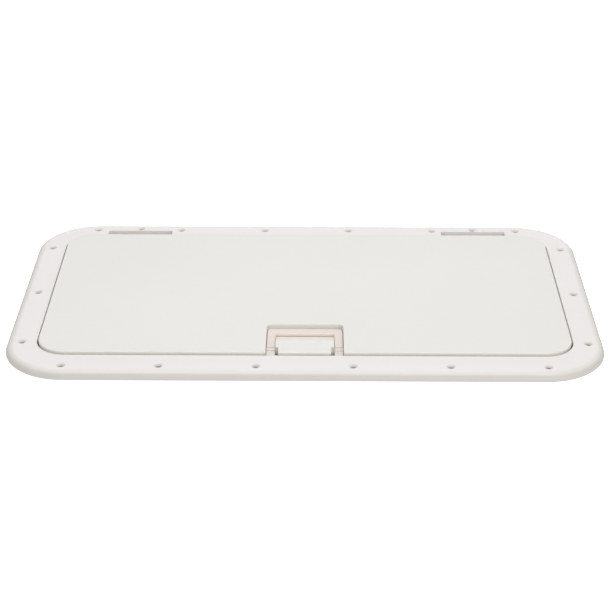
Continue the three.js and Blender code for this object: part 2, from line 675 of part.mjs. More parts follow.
// Plate under the lid that rises to a knuckle round the pin.
function hingeArm(x) {
  const { y, z } = HINGE_AXIS;
  const shape = new THREE.Shape();
  shape.moveTo(ARM_FRONT, ARM_TOP - ARM_PLATE);
  shape.lineTo(ARM_BEND - ARM_SKEW, ARM_TOP - ARM_PLATE);
  shape.lineTo(OPENING.y1 - ARM_RISE_BACK, z - KNUCKLE_RADIUS);
  shape.absarc(y, z, KNUCKLE_RADIUS, -Math.PI / 2, KNUCKLE_END);
  shape.lineTo(ARM_BEND + ARM_SKIRT_GAP, ARM_TOP + ARM_CORNER_RISE);
  shape.lineTo(ARM_BEND, ARM_TOP);
  shape.lineTo(ARM_FRONT, ARM_TOP);
  const half = ARM_LENGTH / 2;
  const body = sideways(shape, x - half, x + half);
  const bore = rodAlongX(PIN_RADIUS + FIT, x - half - PAST, x + half + PAST, HINGE_AXIS);
  const holes = row(ARM_SCREWS, ARM_SCREW_PITCH).map((dx) =>
    rodAlongZ(SCREW_SHANK + FIT, ARM_TOP - ARM_PLATE - PAST, ARM_TOP + PAST, x + dx, ARM_SCREW_Y),
  );
  return cut(body, [bore, ...holes]);
}

function hingePin(x) {
  const half = SLOT_LENGTH / 2 + POCKET_END_WALL;
  return rodAlongX(PIN_RADIUS, x - half, x + half, HINGE_AXIS);
}

// Ring that snaps round the pin between the arm and the pocket's end wall.
// `way` is -1 for the left end, +1 for the right.
function pinClip(x, way) {
  const near = x + way * (ARM_LENGTH / 2 + (ARM_END_GAP - CLIP_THICKNESS) / 2);
  const far = near + way * CLIP_THICKNESS;
  const ring = rodAlongX(CLIP_RADIUS, Math.min(near, far), Math.max(near, far), HINGE_AXIS);
  return ring.subtract(rodAlongX(PIN_RADIUS + FIT, x - HATCH_WIDTH, x + HATCH_WIDTH, HINGE_AXIS));
}

// ---------------------------------------------------------------- latch tray

// Height of the finger ramp at a distance along Y.
function rampHeight(y) {
  const brow = LID.y0 + SCOOP_BROW;
  const fall = (LID_PROUD + RAMP_FOOT_DROP) / (BAR_FRONT - brow);
  return TOP + LID_PROUD - Math.max(0, y - brow) * fall;
}

// Space that the lid's ribs leave for the tray.
function trayClearance() {
  const gap = FIT;
  const ears = TRAY_HALF + TRAY_EAR_REACH + gap;
  const earFront = TRAY_SCREW_YS[0] - SCREW_BOSS_RADIUS - EAR_ROOM;
  return union([
    recessCut(TRAY_WALL + gap, LID_BOTTOM - PAST, SHEET_BOTTOM),
    box(-ears, ears, earFront, TRAY_BACK + gap, LID_BOTTOM - PAST, SHEET_BOTTOM),
  ]);
}

// Outside of the tray before its channels, scoop and windows are cut.
function trayBlock() {
  const side = {
    x0: -TRAY_HALF,
    x1: TRAY_HALF,
    y0: LID.y0 - AHEAD,
    y1: TRAY_BACK,
  };
  const front = box(-HATCH_WIDTH, HATCH_WIDTH, LID.y0 - 2 * AHEAD, LID.y0, -PAST, TOP + ABOVE);
  const body = prism(roundedRect(side, RECESS_CORNER + TRAY_WALL), LID_BOTTOM, SHEET_BOTTOM - FIT);
  const scoopHalf = RAMP_HALF + SCOOP_SIDE;
  const scoop = box(
    -scoopHalf,
    scoopHalf,
    BAR_FRONT - SCOOP_FRONT,
    TRAY_BACK - SUNK,
    TOP - SCOOP_DROP - TRAY_WALL,
    LID_BOTTOM + SUNK,
  );
  const brow = box(
    -RAMP_HALF,
    RAMP_HALF,
    LID.y0,
    LID.y0 + SCOOP_BROW + BROW_LAP,
    SHEET_BOTTOM - SUNK,
    TOP + LID_PROUD,
  );
  const earHalf = TRAY_HALF + TRAY_EAR_REACH;
  const ears = TRAY_SCREW_YS.map((y) =>
    box(-earHalf, earHalf, y - SCREW_BOSS_RADIUS, y + SCREW_BOSS_RADIUS, LID_BOTTOM, TRAY_EAR_TOP),
  );
  const bearingLow = PIVOT.z - HANDLE_PIN_RADIUS - BEARING_UNDER;
  const bearingFront = PIVOT.y - BEARING_HALF;
  const bearingBack = PIVOT.y + BEARING_HALF;
  const bearings = [-1, 1].flatMap((way) =>
    [
      [CORE_HALF, RAMP_HALF - NOTCH_WIDTH],
      [RECESS_HALF, HANDLE_PIN_END],
    ].map(([near, far]) => {
      const low = Math.min(way * near, way * far);
      const high = Math.max(way * near, way * far);
      return box(low, high, bearingFront, bearingBack, bearingLow, SHEET_BOTTOM - FIT);
    }),
  );
  return cut(union([body, scoop, brow, ...ears, ...bearings]), [front]);
}

// The finger ramp and the deeper pocket behind it, under the handle's bar.
function scoopCut() {
  const brow = LID.y0 + SCOOP_BROW;
  const deep = TOP - SCOOP_DROP;
  const profile = [
    [brow, TOP + LID_PROUD],
    [BAR_FRONT, rampHeight(BAR_FRONT)],
    [BAR_FRONT + SCOOP_DIP, deep],
    [RECESS_BACK, deep],
    [RECESS_BACK, TOP + ABOVE],
    [brow, TOP + ABOVE],
  ];
  return sideways(profile, -RAMP_HALF, RAMP_HALF);
}

// Both channels that the handle's arms lie in, the place of its bar, and the hook windows.
function channelCuts() {
  const cuts = [];
  const windowBack = PIVOT.y + HOOK_SWEEP;
  const front = LID.y0 - PAST;
  for (const way of [-1, 1]) {
    const x0 = way > 0 ? RAMP_HALF : -RECESS_HALF;
    const x1 = x0 + CHANNEL_WIDTH;
    cuts.push(box(x0, x1, front, RECESS_BACK - RECESS_CORNER, CHANNEL_FLOOR, TOP + ABOVE));
    cuts.push(box(x0, x1, front, windowBack, -PAST, CHANNEL_FLOOR + PAST));
    const notch0 = way > 0 ? RAMP_HALF - NOTCH_WIDTH : -RAMP_HALF - PAST;
    cuts.push(box(notch0, notch0 + NOTCH_WIDTH + PAST, front, LID.y0 + NOTCH_LENGTH, -PAST, TOP + ABOVE));
  }
  const bar = { x0: -RECESS_HALF, x1: RECESS_HALF, y0: BAR_FRONT, y1: RECESS_BACK };
  cuts.push(prism(roundedRect(bar, RECESS_CORNER), CHANNEL_FLOOR, TOP + ABOVE));
  const barCorners = BAR_FRONT + RECESS_CORNER + PAST;
  cuts.push(box(-RECESS_HALF, RECESS_HALF, BAR_FRONT, barCorners, CHANNEL_FLOOR, TOP + ABOVE));
  return cuts;
}

// Thins the ramp block from below to an even wall, and leaves a web for the gasket to press on.
function rampCores() {
  const web = OPENING.y0 + LIP_MIDDLE;
  const brow = LID.y0 + SCOOP_BROW;
  const low = LID_BOTTOM - 2 * TRAY_WALL;
  const spans = [
    [LID.y0 + TRAY_WALL, Math.min(brow, web - TRAY_WEB)],
    [web + TRAY_WEB, BAR_FRONT - CORE_END],
  ];
  return spans.map(([y0, y1]) => {
    const profile = [
      [y0, low],
      [y1, low],
      [y1, rampHeight(y1) - TRAY_WALL],
      [y0, rampHeight(y0) - TRAY_WALL],
    ];
    return sideways(profile, -CORE_HALF, CORE_HALF);
  });
}

function latchTray() {
  const earHoles = TRAY_SCREW_YS.flatMap((y) =>
    [-1, 1].map((way) =>
      rodAlongZ(SCREW_SHANK + FIT, LID_BOTTOM - PAST, TRAY_EAR_TOP + PAST, way * TRAY_SCREW_X, y),
    ),
  );
  const boreEnd = HANDLE_PIN_END + PAST;
  const bores = [-1, 1].map((way) => {
    const ends = [way * (HANDLE_PIN_START - FIT), way * boreEnd].sort((a, b) => a - b);
    return rodAlongX(HANDLE_PIN_RADIUS + FIT, ends[0], ends[1], PIVOT);
  });
  return cut(trayBlock(), [
    scoopCut(),
    ...channelCuts(),
    ...rampCores(),
    ...bores,
    ...earHoles,
  ]);
}

// ---------------------------------------------------------------- lift handle

// Side view of one hook: a stem below the pin and a nose that points to the front.
function hookProfile() {
  const { y, z } = PIVOT;
  return [
    [y - HOOK_STEM_FRONT + HOOK_SHOULDER, z],
    [y - HOOK_STEM_FRONT, z - HOOK_SHOULDER],
    [y - HOOK_STEM_FRONT, z - HOOK_NOSE],
    [y - HOOK_TIP, z - HOOK_NOSE],
    [y - HOOK_TIP, z - HOOK_NOSE - HOOK_TIP_WALL],
    [y - HOOK_STEM_FRONT + HOOK_HEEL, z - HOOK_DEPTH],
    [y + HOOK_STEM_BACK - HOOK_HEEL, z - HOOK_DEPTH],
    [y + HOOK_STEM_BACK, z - HOOK_DEPTH + HOOK_HEEL],
    [y + HOOK_STEM_BACK, z],
  ];
}

function liftHandle() {
  const outerHalf = RECESS_HALF - HANDLE_GAP;
  const innerHalf = RAMP_HALF + HANDLE_GAP;
  const barBack = RECESS_BACK - HANDLE_GAP;
  const barFront = BAR_FRONT + HANDLE_GAP;
  const top = TOP - HANDLE_DROP;
  const bottom = top - HANDLE_THICKNESS;
  const outline = new THREE.Shape();
  const outer = RECESS_CORNER - HANDLE_GAP;
  const inner = HANDLE_INNER_CORNER;
  outline.moveTo(innerHalf, PIVOT.y);
  outline.lineTo(outerHalf, PIVOT.y);
  outline.absarc(outerHalf - outer, barBack - outer, outer, 0, Math.PI / 2);
  outline.absarc(-outerHalf + outer, barBack - outer, outer, Math.PI / 2, Math.PI);
  outline.lineTo(-outerHalf, PIVOT.y);
  outline.lineTo(-innerHalf, PIVOT.y);
  outline.absarc(-innerHalf + inner, barFront - inner, inner, Math.PI, Math.PI / 2, true);
  outline.absarc(innerHalf - inner, barFront - inner, inner, Math.PI / 2, 0, true);
  const bow = roundedPrism(outline, bottom, top, HANDLE_BEVEL, HANDLE_BEVEL, 2);
  const undercut = sideways(
    [
      [barFront - PAST, bottom - PAST],
      [barFront + UNDERCUT_REACH, bottom - PAST],
      [barFront + UNDERCUT_REACH, bottom],
      [barFront - PAST, bottom + BAR_UNDERCUT],
    ],
    -innerHalf + inner,
    innerHalf - inner,
  );
  const steps = FOOT_STEPS_BACK.map((back, i) =>
    box(-HATCH_WIDTH, HATCH_WIDTH, PIVOT.y - AHEAD, LID.y0 + back, top - (i + 1) * FOOT_STEP, top + PAST),
  );
  const feet = [-1, 1].flatMap((way) => {
    const x0 = way > 0 ? innerHalf : -outerHalf;
    const x1 = x0 + outerHalf - innerHalf;
    const middle = (x0 + x1) / 2;
    const tongueTop = PIVOT.z + FOOT_RADIUS - TONGUE_DROP;
    return [
      rodAlongX(FOOT_RADIUS, x0, x1, PIVOT),
      box(x0, x1, PIVOT.y - FOOT_TONGUE, PIVOT.y, tongueTop - TONGUE_THICKNESS, tongueTop),
      sideways(hookProfile(), middle - HOOK_WIDTH / 2, middle + HOOK_WIDTH / 2),
    ];
  });
  const bore = rodAlongX(HANDLE_PIN_RADIUS + FIT, -TRAY_HALF, TRAY_HALF, PIVOT);
  return cut(union([cut(bow, [undercut, ...steps]), ...feet]), [bore]);
}

// `way` is -1 for the left pin, +1 for the right.
function handlePin(way) {
  const ends = [way * HANDLE_PIN_START, way * HANDLE_PIN_END].sort((a, b) => a - b);
  return rodAlongX(HANDLE_PIN_RADIUS, ends[0], ends[1], PIVOT);
}

class SpringCurve extends THREE.Curve {
  constructor(x0, x1, radius) {
    super();
    this.x0 = x0;
    this.x1 = x1;
    this.radius = radius;
  }
  getPoint(t) {
    const angle = t * SPRING_TURNS * 2 * Math.PI;
    return new THREE.Vector3(
      this.x0 + t * (this.x1 - this.x0),
      PIVOT.y + this.radius * Math.cos(angle),
      PIVOT.z + this.radius * Math.sin(angle),
    );
  }
}

// Torsion spring coiled round a pin, in the notch between the ramp and the handle's foot.
function latchSpring(way) {
  const clear = SPRING_WIRE + SPRING_END_GAP;
  const near = way * (RAMP_HALF - NOTCH_WIDTH + clear);
  const far = way * (RAMP_HALF - clear);
  const radius = HANDLE_PIN_RADIUS + SPRING_WIRE + SPRING_PIN_GAP;
  const path = new SpringCurve(Math.min(near, far), Math.max(near, far), radius);
  const section = new THREE.Shape();
  section.absarc(0, 0, SPRING_WIRE, 0, 2 * Math.PI);
  const steps = SPRING_STEPS * SPRING_TURNS;
  const settings = { steps, extrudePath: path, curveSegments: 3, bevelEnabled: false };
  return solid(new THREE.ExtrudeGeometry(section, settings));
}

// ---------------------------------------------------------------- strike bracket

// Folded steel angle on the gutter floor; the handle's hooks catch under its top fold.
function strikeBracket() {
  const back = OPENING.y0 + FIT;
  const foot = GUTTER_TOP + FIT;
  const foldBottom = PIVOT.z - HOOK_NOSE + FIT;
  const half = RECESS_HALF + STRIKE_OVERHANG;
  const footHalf = RAMP_HALF - STRIKE_FOOT_CLEAR;
  const body = union([
    box(-half, half, back, back + STRIKE_SHEET, foot + STRIKE_WEB_DROP, foldBottom + STRIKE_SHEET),
    box(-footHalf, footHalf, back, back + STRIKE_SHEET, foot, foldBottom),
    box(-half, half, back, back + STRIKE_FOLD, foldBottom, foldBottom + STRIKE_SHEET),
    box(-footHalf, footHalf, back, back + STRIKE_FOOT_REACH, foot, foot + STRIKE_SHEET),
  ]);
  const holes = [-STRIKE_SCREW_X, STRIKE_SCREW_X].map((x) =>
    rodAlongZ(SCREW_SHANK + FIT, foot - PAST, foot + STRIKE_SHEET + PAST, x, STRIKE_SCREW_Y),
  );
  return cut(body, holes);
}

// ---------------------------------------------------------------- assembly

addPiece("frame", frame(), whitePlastic);
addPiece("gasket", gasket(), sealRubber);
addPiece("lid", lid(), lidPlastic);

for (const [side, x] of [["left", -HINGE_X], ["right", HINGE_X]]) {
  addPiece(`hinge_arm_${side}`, hingeArm(x), hingePlastic);
  addPiece(`hinge_pin_${side}`, hingePin(x), stainless);
  addPiece(`hinge_pin_clip_${side}_1`, pinClip(x, -1), stainless);
  addPiece(`hinge_pin_clip_${side}_2`, pinClip(x, 1), stainless);
  row(ARM_SCREWS, ARM_SCREW_PITCH).forEach((dx, i) => {
    const seat = ARM_TOP - ARM_PLATE - FIT;
    const length = SHEET_BOTTOM - seat;
    addPiece(`hinge_screw_${side}_${i + 1}`, panScrew(x + dx, ARM_SCREW_Y, seat, length, 1), stainless);
  });
}

addPiece("latch_tray", latchTray(), latchPlastic);
addPiece("lift_handle", liftHandle(), latchPlastic);
for (const [side, way] of [["left", -1], ["right", 1]]) {
  addPiece(`handle_pin_${side}`, handlePin(way), stainless);
  addPiece(`latch_spring_${side}`, latchSpring(way), stainless);
  TRAY_SCREW_YS.forEach((y, i) => {
    const seat = LID_BOTTOM - FIT;
    const length = SHEET_BOTTOM - seat;
    addPiece(`tray_screw_${side}_${i + 1}`, panScrew(way * TRAY_SCREW_X, y, seat, length, 1), stainless);
  });
}

addPiece("strike_bracket", strikeBracket(), stainless);
for (const [side, x] of [["left", -STRIKE_SCREW_X], ["right", STRIKE_SCREW_X]]) {
  const seat = GUTTER_TOP + STRIKE_SHEET + 2 * FIT;
  const length = STRIKE_SHEET + GUTTER_FLOOR + STRIKE_SCREW_SPARE;
  addPiece(`strike_screw_${side}`, panScrew(x, STRIKE_SCREW_Y, seat, length, -1), stainless);
}

export default group;
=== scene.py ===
"""A moulded plastic deck hatch: flanged frame, hinged lid, latch tray and lift handle, rubber seal
and stainless fittings. Sizes are in millimetres until a mesh is made; X runs along the hinge,
Y towards the hinge and Z up out of the deck."""

import math

import bmesh
import bpy
import numpy as np
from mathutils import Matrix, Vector


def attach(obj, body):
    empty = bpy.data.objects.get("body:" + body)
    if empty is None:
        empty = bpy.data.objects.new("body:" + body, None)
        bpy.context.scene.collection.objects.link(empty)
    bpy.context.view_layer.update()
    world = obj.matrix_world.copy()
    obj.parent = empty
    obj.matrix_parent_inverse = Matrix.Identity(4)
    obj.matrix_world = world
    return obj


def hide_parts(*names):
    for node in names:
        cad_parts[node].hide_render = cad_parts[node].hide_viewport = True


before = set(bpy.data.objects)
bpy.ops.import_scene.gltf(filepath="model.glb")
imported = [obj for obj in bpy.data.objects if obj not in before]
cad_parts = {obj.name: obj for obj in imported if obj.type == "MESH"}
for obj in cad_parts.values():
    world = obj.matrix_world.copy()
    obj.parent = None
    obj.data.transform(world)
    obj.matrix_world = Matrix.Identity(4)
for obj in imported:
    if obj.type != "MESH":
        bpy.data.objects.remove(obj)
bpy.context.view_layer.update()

MM = 0.001
QUARTER = math.pi / 2
CORNER = 0.01  # radius of a corner that is to look sharp

# ------------------------------------------------------------------ sizes

TOP = 27.0  # height of the flange's top face
FRAME = (-303.0, 303.0, -176.5, 176.5)
FRAME_CORNER = 65.0
OPENING = (-272.0, 272.0, -138.1, 144.5)
OPENING_CORNER = 31.5
RIM_FOOT = 19.0
RIM_IN = 8.0
RIM_DOWN = 7.0
RIM_WALL = 4.0
FLANGE_SHEET = 3.2
COLLAR_WALL = 3.0
GUTTER_TOP = 10.0
GUTTER_BOTTOM = 7.0
LIP_OUT = 23.0  # opening wall to the near and far faces of the gutter's lip
LIP_IN = 26.0
LIP_TOP = 13.9
GUSSET_HALF = 1.5
GUSSET_REACH = 15.0
GUSSET_PITCH_LONG = 81.333
GUSSET_PITCH_SHORT = 75.533

HOLE_XS = np.array([-241.0, -144.6, -48.2, 48.2, 144.6, 241.0])
HOLE_YS = np.array([-111.0, 0.0, 111.0])
FRONT_HOLE_Y = -159.5
BACK_HOLE_Y = 160.0
SIDE_HOLE_X = 287.0
HINGE_HOLE_Y = 163.3
HOLE_RADIUS = 2.6
SINK_RADIUS = 4.6
SINK_DEPTH = 2.4
BOSS_RADIUS = 5.6
RIB = 2.2

HINGE_X = 191.5
SLOT_HALF = 36.5
SLOT_BACK = 157.8
POCKET_FLOOR = 20.1
AXIS_Y = 150.0
AXIS_Z = 23.0
PIN_RADIUS = 1.3
FIT = 0.3  # gap between two pieces that touch
PIN_HALF = 41.5
CLIP_RADIUS = 2.6
CLIP_THICKNESS = 0.8
CLIP_AWAY = 35.35  # a hinge's middle to the near face of its clip
KNUCKLE_RADIUS = 2.6
ARM_HALF = 35.0
ARM_TOP = 21.2
ARM_BOTTOM = 18.2
ARM_FRONT = 124.3
ARM_BEND = 138.4
ARM_SCREWS = (-24.0, 0.0, 24.0)
ARM_SCREW_Y = 130.85
ARM_SCREW_SEAT = 17.9
ARM_SCREW_LENGTH = 8.6
SCREW_BORE = 2.0

LID = (-270.4, 270.4, -136.5, 142.9)
LID_CORNER = 29.9
LID_TOP = 29.5
LID_UNDER = 26.5
LID_FOOT = 19.0
SKIRT = 3.0
GRID_FOOT = 20.0

RECESS_HALF = 39.2
RECESS_BACK = -76.5
RECESS_CORNER = 5.0
RAMP_HALF = 29.5
BAR_FRONT = -88.3
CHANNEL_FLOOR = 20.9
BROW_Y = -114.5
RAMP_FOOT = 21.3
SCOOP_FLOOR = 17.5
TRAY_HALF = 41.4
TRAY_BACK = -74.3
TRAY_TOP = 26.2
TRAY_EAR = 12.0
TRAY_SCREW_X = 47.4
TRAY_SCREW_YS = (-105.0, -81.5)
TRAY_SCREW_SEAT = 18.7
TRAY_SCREW_LENGTH = 7.8
TRAY_EAR_TOP = 21.2
SCREW_BOSS = 4.2
NOTCH = 3.0
NOTCH_BACK = -125.8
PIVOT_Y = -129.5
PIVOT_Z = 21.0
PIVOT_RADIUS = 1.25
PIVOT_BORE = 1.55
HOOK_WINDOW = 9.7  # pivot back to the end of the hook's window
CORE_HALF = 23.7
RAMP_WALL = 2.8

HANDLE_OUTER = 38.8
HANDLE_INNER = 29.9
HANDLE_TOP = 24.7
HANDLE_BOTTOM = 21.2
BAR_Y = (-87.9, -76.9)
FOOT_RADIUS = 2.7
FOOT_STEPS = ((-116.8, 24.0), (-122.6, 23.3))
HOOK_X = 34.35
HOOK_HALF = 3.0

STRIKE_SCREW_XS = (-15.0, 15.0)
STRIKE_SCREW_Y = -131.1
STRIKE_SCREW_SEAT = 11.8
STRIKE_SCREW_LENGTH = 7.2
STRIKE_HALF = 42.0
STRIKE_FOOT_HALF = 27.0

# ------------------------------------------------------------------ outlines


def rounded(corners, radii, steps=12):
    """A closed outline, anticlockwise, as points and outward normals. Each corner is an arc tangent to
    both of its sides: the normal turns evenly from one side's to the next side's, and the point is the
    arc's centre plus the radius times that normal, or minus it at an inward corner."""
    corners = np.array(corners, float)
    radii = np.broadcast_to(np.asarray(radii, float), len(corners))
    before = corners - np.roll(corners, 1, axis=0)
    before /= np.linalg.norm(before, axis=1)[:, None]
    after = np.roll(before, -1, axis=0)
    turn = np.arctan2(before[:, 0] * after[:, 1] - before[:, 1] * after[:, 0], (before * after).sum(axis=1))
    way = np.sign(turn)
    start = corners - before * (radii * np.tan(np.abs(turn) / 2))[:, None]
    first = np.arctan2(-before[:, 0], before[:, 1])
    angle = first[:, None] + turn[:, None] * np.linspace(0, 1, steps + 1)[None, :]
    normals = np.stack([np.cos(angle), np.sin(angle)], axis=-1)
    reach = (way * radii)[:, None]
    centres = start - reach * normals[:, 0]
    points = centres[:, None, :] + reach[:, :, None] * normals
    return points.reshape(-1, 2), normals.reshape(-1, 2)


def rectangle(sides, corner, steps=12):
    """A rectangle (x0, x1, y0, y1) with round corners."""
    x0, x1, y0, y1 = sides
    return rounded([(x0, y0), (x1, y0), (x1, y1), (x0, y1)], corner, steps)


def circle(radius, x=0.0, y=0.0, sides=40):
    """Points at even angles round (x, y)."""
    angle = np.arange(sides) * 2 * math.pi / sides
    normals = np.stack([np.cos(angle), np.sin(angle)], axis=-1)
    return normals * radius + (x, y), normals


def quarter(start, end, steps=5, hollow=False):
    """Levels on a quarter of an ellipse from one (inset, height) to another: one of the two changes as a
    sine and the other as one minus a cosine. A hollow one bends the other way."""
    t = np.linspace(0, QUARTER, steps + 1)
    fast, slow = np.sin(t), 1 - np.cos(t)
    if hollow:
        fast, slow = slow, fast
    return [
        (start[0] + (end[0] - start[0]) * s, start[1] + (end[1] - start[1]) * f)
        for s, f in zip(slow, fast)
    ]


# ------------------------------------------------------------------ solids


def outward(points, faces):
    """Turns every face over if the volume is negative, summed over triangles fanned from each face."""
    volume = 0.0
    for face in faces:
        ring = points[np.asarray(face)]
        volume += np.cross(ring[1:-1] - ring[0], ring[2:] - ring[0]).dot(ring[0]).sum()
    if volume < 0:
        faces = [np.asarray(face)[::-1] for face in faces]
    return points, faces


def loft(rings, closed=False):
    """Quads between neighbouring rings, each an equal count of points. A closed loft joins its last ring to
    its first; an open one ends in two flat faces."""
    rings = np.asarray(rings, float)
    count, size = rings.shape[:2]
    index = np.arange(count * size).reshape(count, size)
    low = index if closed else index[:-1]
    high = np.roll(index, -1, axis=0) if closed else index[1:]
    quads = np.stack([low, np.roll(low, -1, axis=1), np.roll(high, -1, axis=1), high], axis=-1)
    faces = list(quads.reshape(-1, 4))
    if not closed:
        faces += [index[0][::-1], index[-1]]
    return outward(rings.reshape(-1, 3), faces)


def ring(outline, inset, height):
    """An outline moved inwards along its normals, at a height."""
    points, normals = outline
    flat = points - normals * inset
    return np.column_stack([flat, np.full(len(flat), height)])


def moulded(outline, levels):
    """A solid whose outline moves in and out as it rises, through (inset, height) levels."""
    return loft([ring(outline, inset, height) for inset, height in levels])


def prism(outline, low, high):
    return moulded(outline, [(0, low), (0, high)])


def turned(levels, x, y, sides=40):
    """A solid of revolution about a vertical axis through (x, y), from (radius, height) levels."""
    return moulded(circle(0.0, x, y, sides), [(-radius, height) for radius, height in levels])


def sideways(solid):
    """Turns a solid so that its X and Y lie along Y and Z, and its height along X."""
    points, faces = solid
    return outward(points[:, [2, 0, 1]], faces)


def box(x0, x1, y0, y1, z0, z1, edge=0.0):
    """A block, with all of its upright and top edges rounded by `edge`."""
    if not edge:
        return prism(rectangle((x0, x1, y0, y1), 0.001, 1), z0, z1)
    outline = rectangle((x0, x1, y0, y1), edge, 4)
    return moulded(outline, [(0, z0), (0, z1 - edge), *quarter((0, z1 - edge), (edge * 0.98, z1), 4)])


def chamfered(low, high, chamfer):
    """Levels from low to high with a chamfer at each end."""
    if not chamfer:
        return [(0, low), (0, high)]
    return [(chamfer, low), (0, low + chamfer), (0, high - chamfer), (chamfer, high)]


def rod(radius, x0, x1, y, z, chamfer=0.0):
    """A round bar along X, with chamfered ends."""
    return sideways(moulded(circle(radius, y, z), chamfered(x0, x1, chamfer)))


def flared(outline, low, top, flare):
    """A cutter that widens in most of a quarter circle just under a surface, and so leaves a rounded edge."""
    angles = np.linspace(0, QUARTER * 0.86, 4)
    lip = [(-flare * (1 - math.cos(a)), top - flare * (1 - math.sin(a))) for a in angles]
    widest = lip[-1][0] - 0.12
    return moulded(outline, [(0, low), *lip, (widest, top + 0.01), (widest, top + 3)])


# ------------------------------------------------------------------ meshes and pieces


def mesh_of(solids):
    """Several solids as one mesh, in metres."""
    points, faces, first = [], [], 0
    for solid_points, solid_faces in solids:
        points.append(solid_points)
        faces += [(np.asarray(face) + first).tolist() for face in solid_faces]
        first += len(solid_points)
    mesh = bpy.data.meshes.new("solid")
    mesh.from_pydata((np.concatenate(points) * MM).tolist(), [], faces)
    mesh.update()
    return mesh


def shown(mesh, modifiers):
    """The mesh that an object with these modifiers shows. Each is (type, settings)."""
    holder = bpy.data.objects.new("holder", mesh)
    bpy.context.collection.objects.link(holder)
    for kind, settings in modifiers:
        modifier = holder.modifiers.new(kind.title(), kind)
        for name, value in settings.items():
            setattr(modifier, name, value)
    depsgraph = bpy.context.evaluated_depsgraph_get()
    result = bpy.data.meshes.new_from_object(holder.evaluated_get(depsgraph), depsgraph=depsgraph)
    bpy.data.objects.remove(holder)
    return result


def build(base, *stages):
    """A solid that others are joined to or cut from, in stages: ("UNION" or "DIFFERENCE", solids)."""
    mesh = mesh_of([base])
    for operation, solids in stages:
        group = bpy.data.collections.new("tools")
        bpy.context.scene.collection.children.link(group)
        tools = []
        for solid in solids:
            tool = bpy.data.objects.new("tool", mesh_of([solid]))
            group.objects.link(tool)
            tools.append(tool)
        settings = {
            "operation": operation,
            "solver": "MANIFOLD",
            "operand_type": "COLLECTION",
            "collection": group,
        }
        mesh = shown(mesh, [("BOOLEAN", settings)])
        for tool in tools:
            bpy.data.objects.remove(tool)
        bpy.data.collections.remove(group)
    return mesh


def cleaned(mesh, flat=False, near=0.006):
    """Merges points nearer than `near` and removes slivers; where asked for, joins faces in one plane."""
    work = bmesh.new()
    work.from_mesh(mesh)
    bmesh.ops.remove_doubles(work, verts=work.verts, dist=near * MM)
    bmesh.ops.dissolve_degenerate(work, edges=work.edges, dist=near * MM)
    if flat:
        flatness = math.radians(0.4)
        bmesh.ops.dissolve_limit(work, angle_limit=flatness, verts=work.verts, edges=work.edges)
    work.to_mesh(mesh)
    work.free()
    return mesh


def keep(mesh, name, rule):
    """Keeps a number at each point of a mesh: a rule's value for the arrays of x, y and z."""
    points = np.empty(len(mesh.vertices) * 3)
    mesh.vertices.foreach_get("co", points)
    value = rule(*(points.reshape(-1, 3).T / MM))
    mesh.attributes.new(name, "FLOAT", "POINT").data.foreach_set("value", value.astype(float))


def piece(name, mesh, body, material, nodes, bevel=0.0, sharp=34):
    """A finished piece: a fine bevel on its sharp edges where one is asked for, then smooth shading that
    keeps flat faces flat."""
    mesh = cleaned(mesh, flat=bool(bevel))
    if bevel:
        rounding = {
            "width": bevel * MM,
            "segments": 2,
            "limit_method": "ANGLE",
            "angle_limit": math.radians(40),
        }
        mesh = cleaned(shown(mesh, [("BEVEL", rounding)]), near=0.002)
    mesh.polygons.foreach_set("use_smooth", np.ones(len(mesh.polygons), bool))
    mesh.set_sharp_from_angle(angle=math.radians(sharp))
    mesh = shown(mesh, [("WEIGHTED_NORMAL", {"keep_sharp": True, "weight": 50})])
    mesh.name = name
    mesh.materials.clear()
    mesh.materials.append(material[0])
    made = bpy.data.objects.new(name, mesh)
    bpy.context.scene.collection.objects.link(made)
    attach(made, body)
    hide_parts(*nodes)
    return made


# ------------------------------------------------------------------ shader maths


class Value:
    """One output of a node. Arithmetic on it adds Math nodes to the same material."""

    def __init__(self, tree, socket):
        self.tree = tree
        self.socket = socket

    def node(self, kind, settings, inputs):
        return add_node(self.tree, kind, settings, inputs)

    def maths(self, operation, *values):
        inputs = dict(enumerate(values))
        return self.node("ShaderNodeMath", {"operation": operation}, inputs)

    def __add__(self, other):
        return self.maths("ADD", self, other)

    __radd__ = __add__

    def __sub__(self, other):
        return self.maths("SUBTRACT", self, other)

    def __rsub__(self, other):
        return self.maths("SUBTRACT", other, self)

    def __mul__(self, other):
        return self.maths("MULTIPLY", self, other)

    __rmul__ = __mul__

    def __pow__(self, other):
        return self.maths("POWER", self, other)

    def size(self):
        return self.maths("ABSOLUTE", self, 0.0)

    def above(self, least):
        return self.maths("MAXIMUM", self, least)

    def clamp(self):
        return self.node("ShaderNodeClamp", None, {0: self})

    def step(self, low, high):
        """0 below low and 1 above high, with a smooth rise between them."""
        settings = {"interpolation_type": "SMOOTHSTEP"}
        return self.node("ShaderNodeMapRange", settings, {0: self, 1: low, 2: high, 3: 0.0, 4: 1.0})


def add_node(tree, kind, settings=None, inputs=None, output=0):
    """Adds a node: its settings first, then its inputs as numbers, colours or links."""
    made = tree.nodes.new(kind)
    for name, value in (settings or {}).items():
        setattr(made, name, value)
    for name, value in (inputs or {}).items():
        if isinstance(value, Value):
            tree.links.new(value.socket, made.inputs[name])
        else:
            made.inputs[name].default_value = value
    return Value(tree, made.outputs[output])


def colour(red, green, blue):
    """A colour from 0 to 255 in sRGB, as the linear colour that a socket takes."""
    srgb = np.array([red, green, blue]) / 255
    linear = np.where(srgb <= 0.04045, srgb / 12.92, ((srgb + 0.055) / 1.055) ** 2.4)
    return (*linear.tolist(), 1.0)


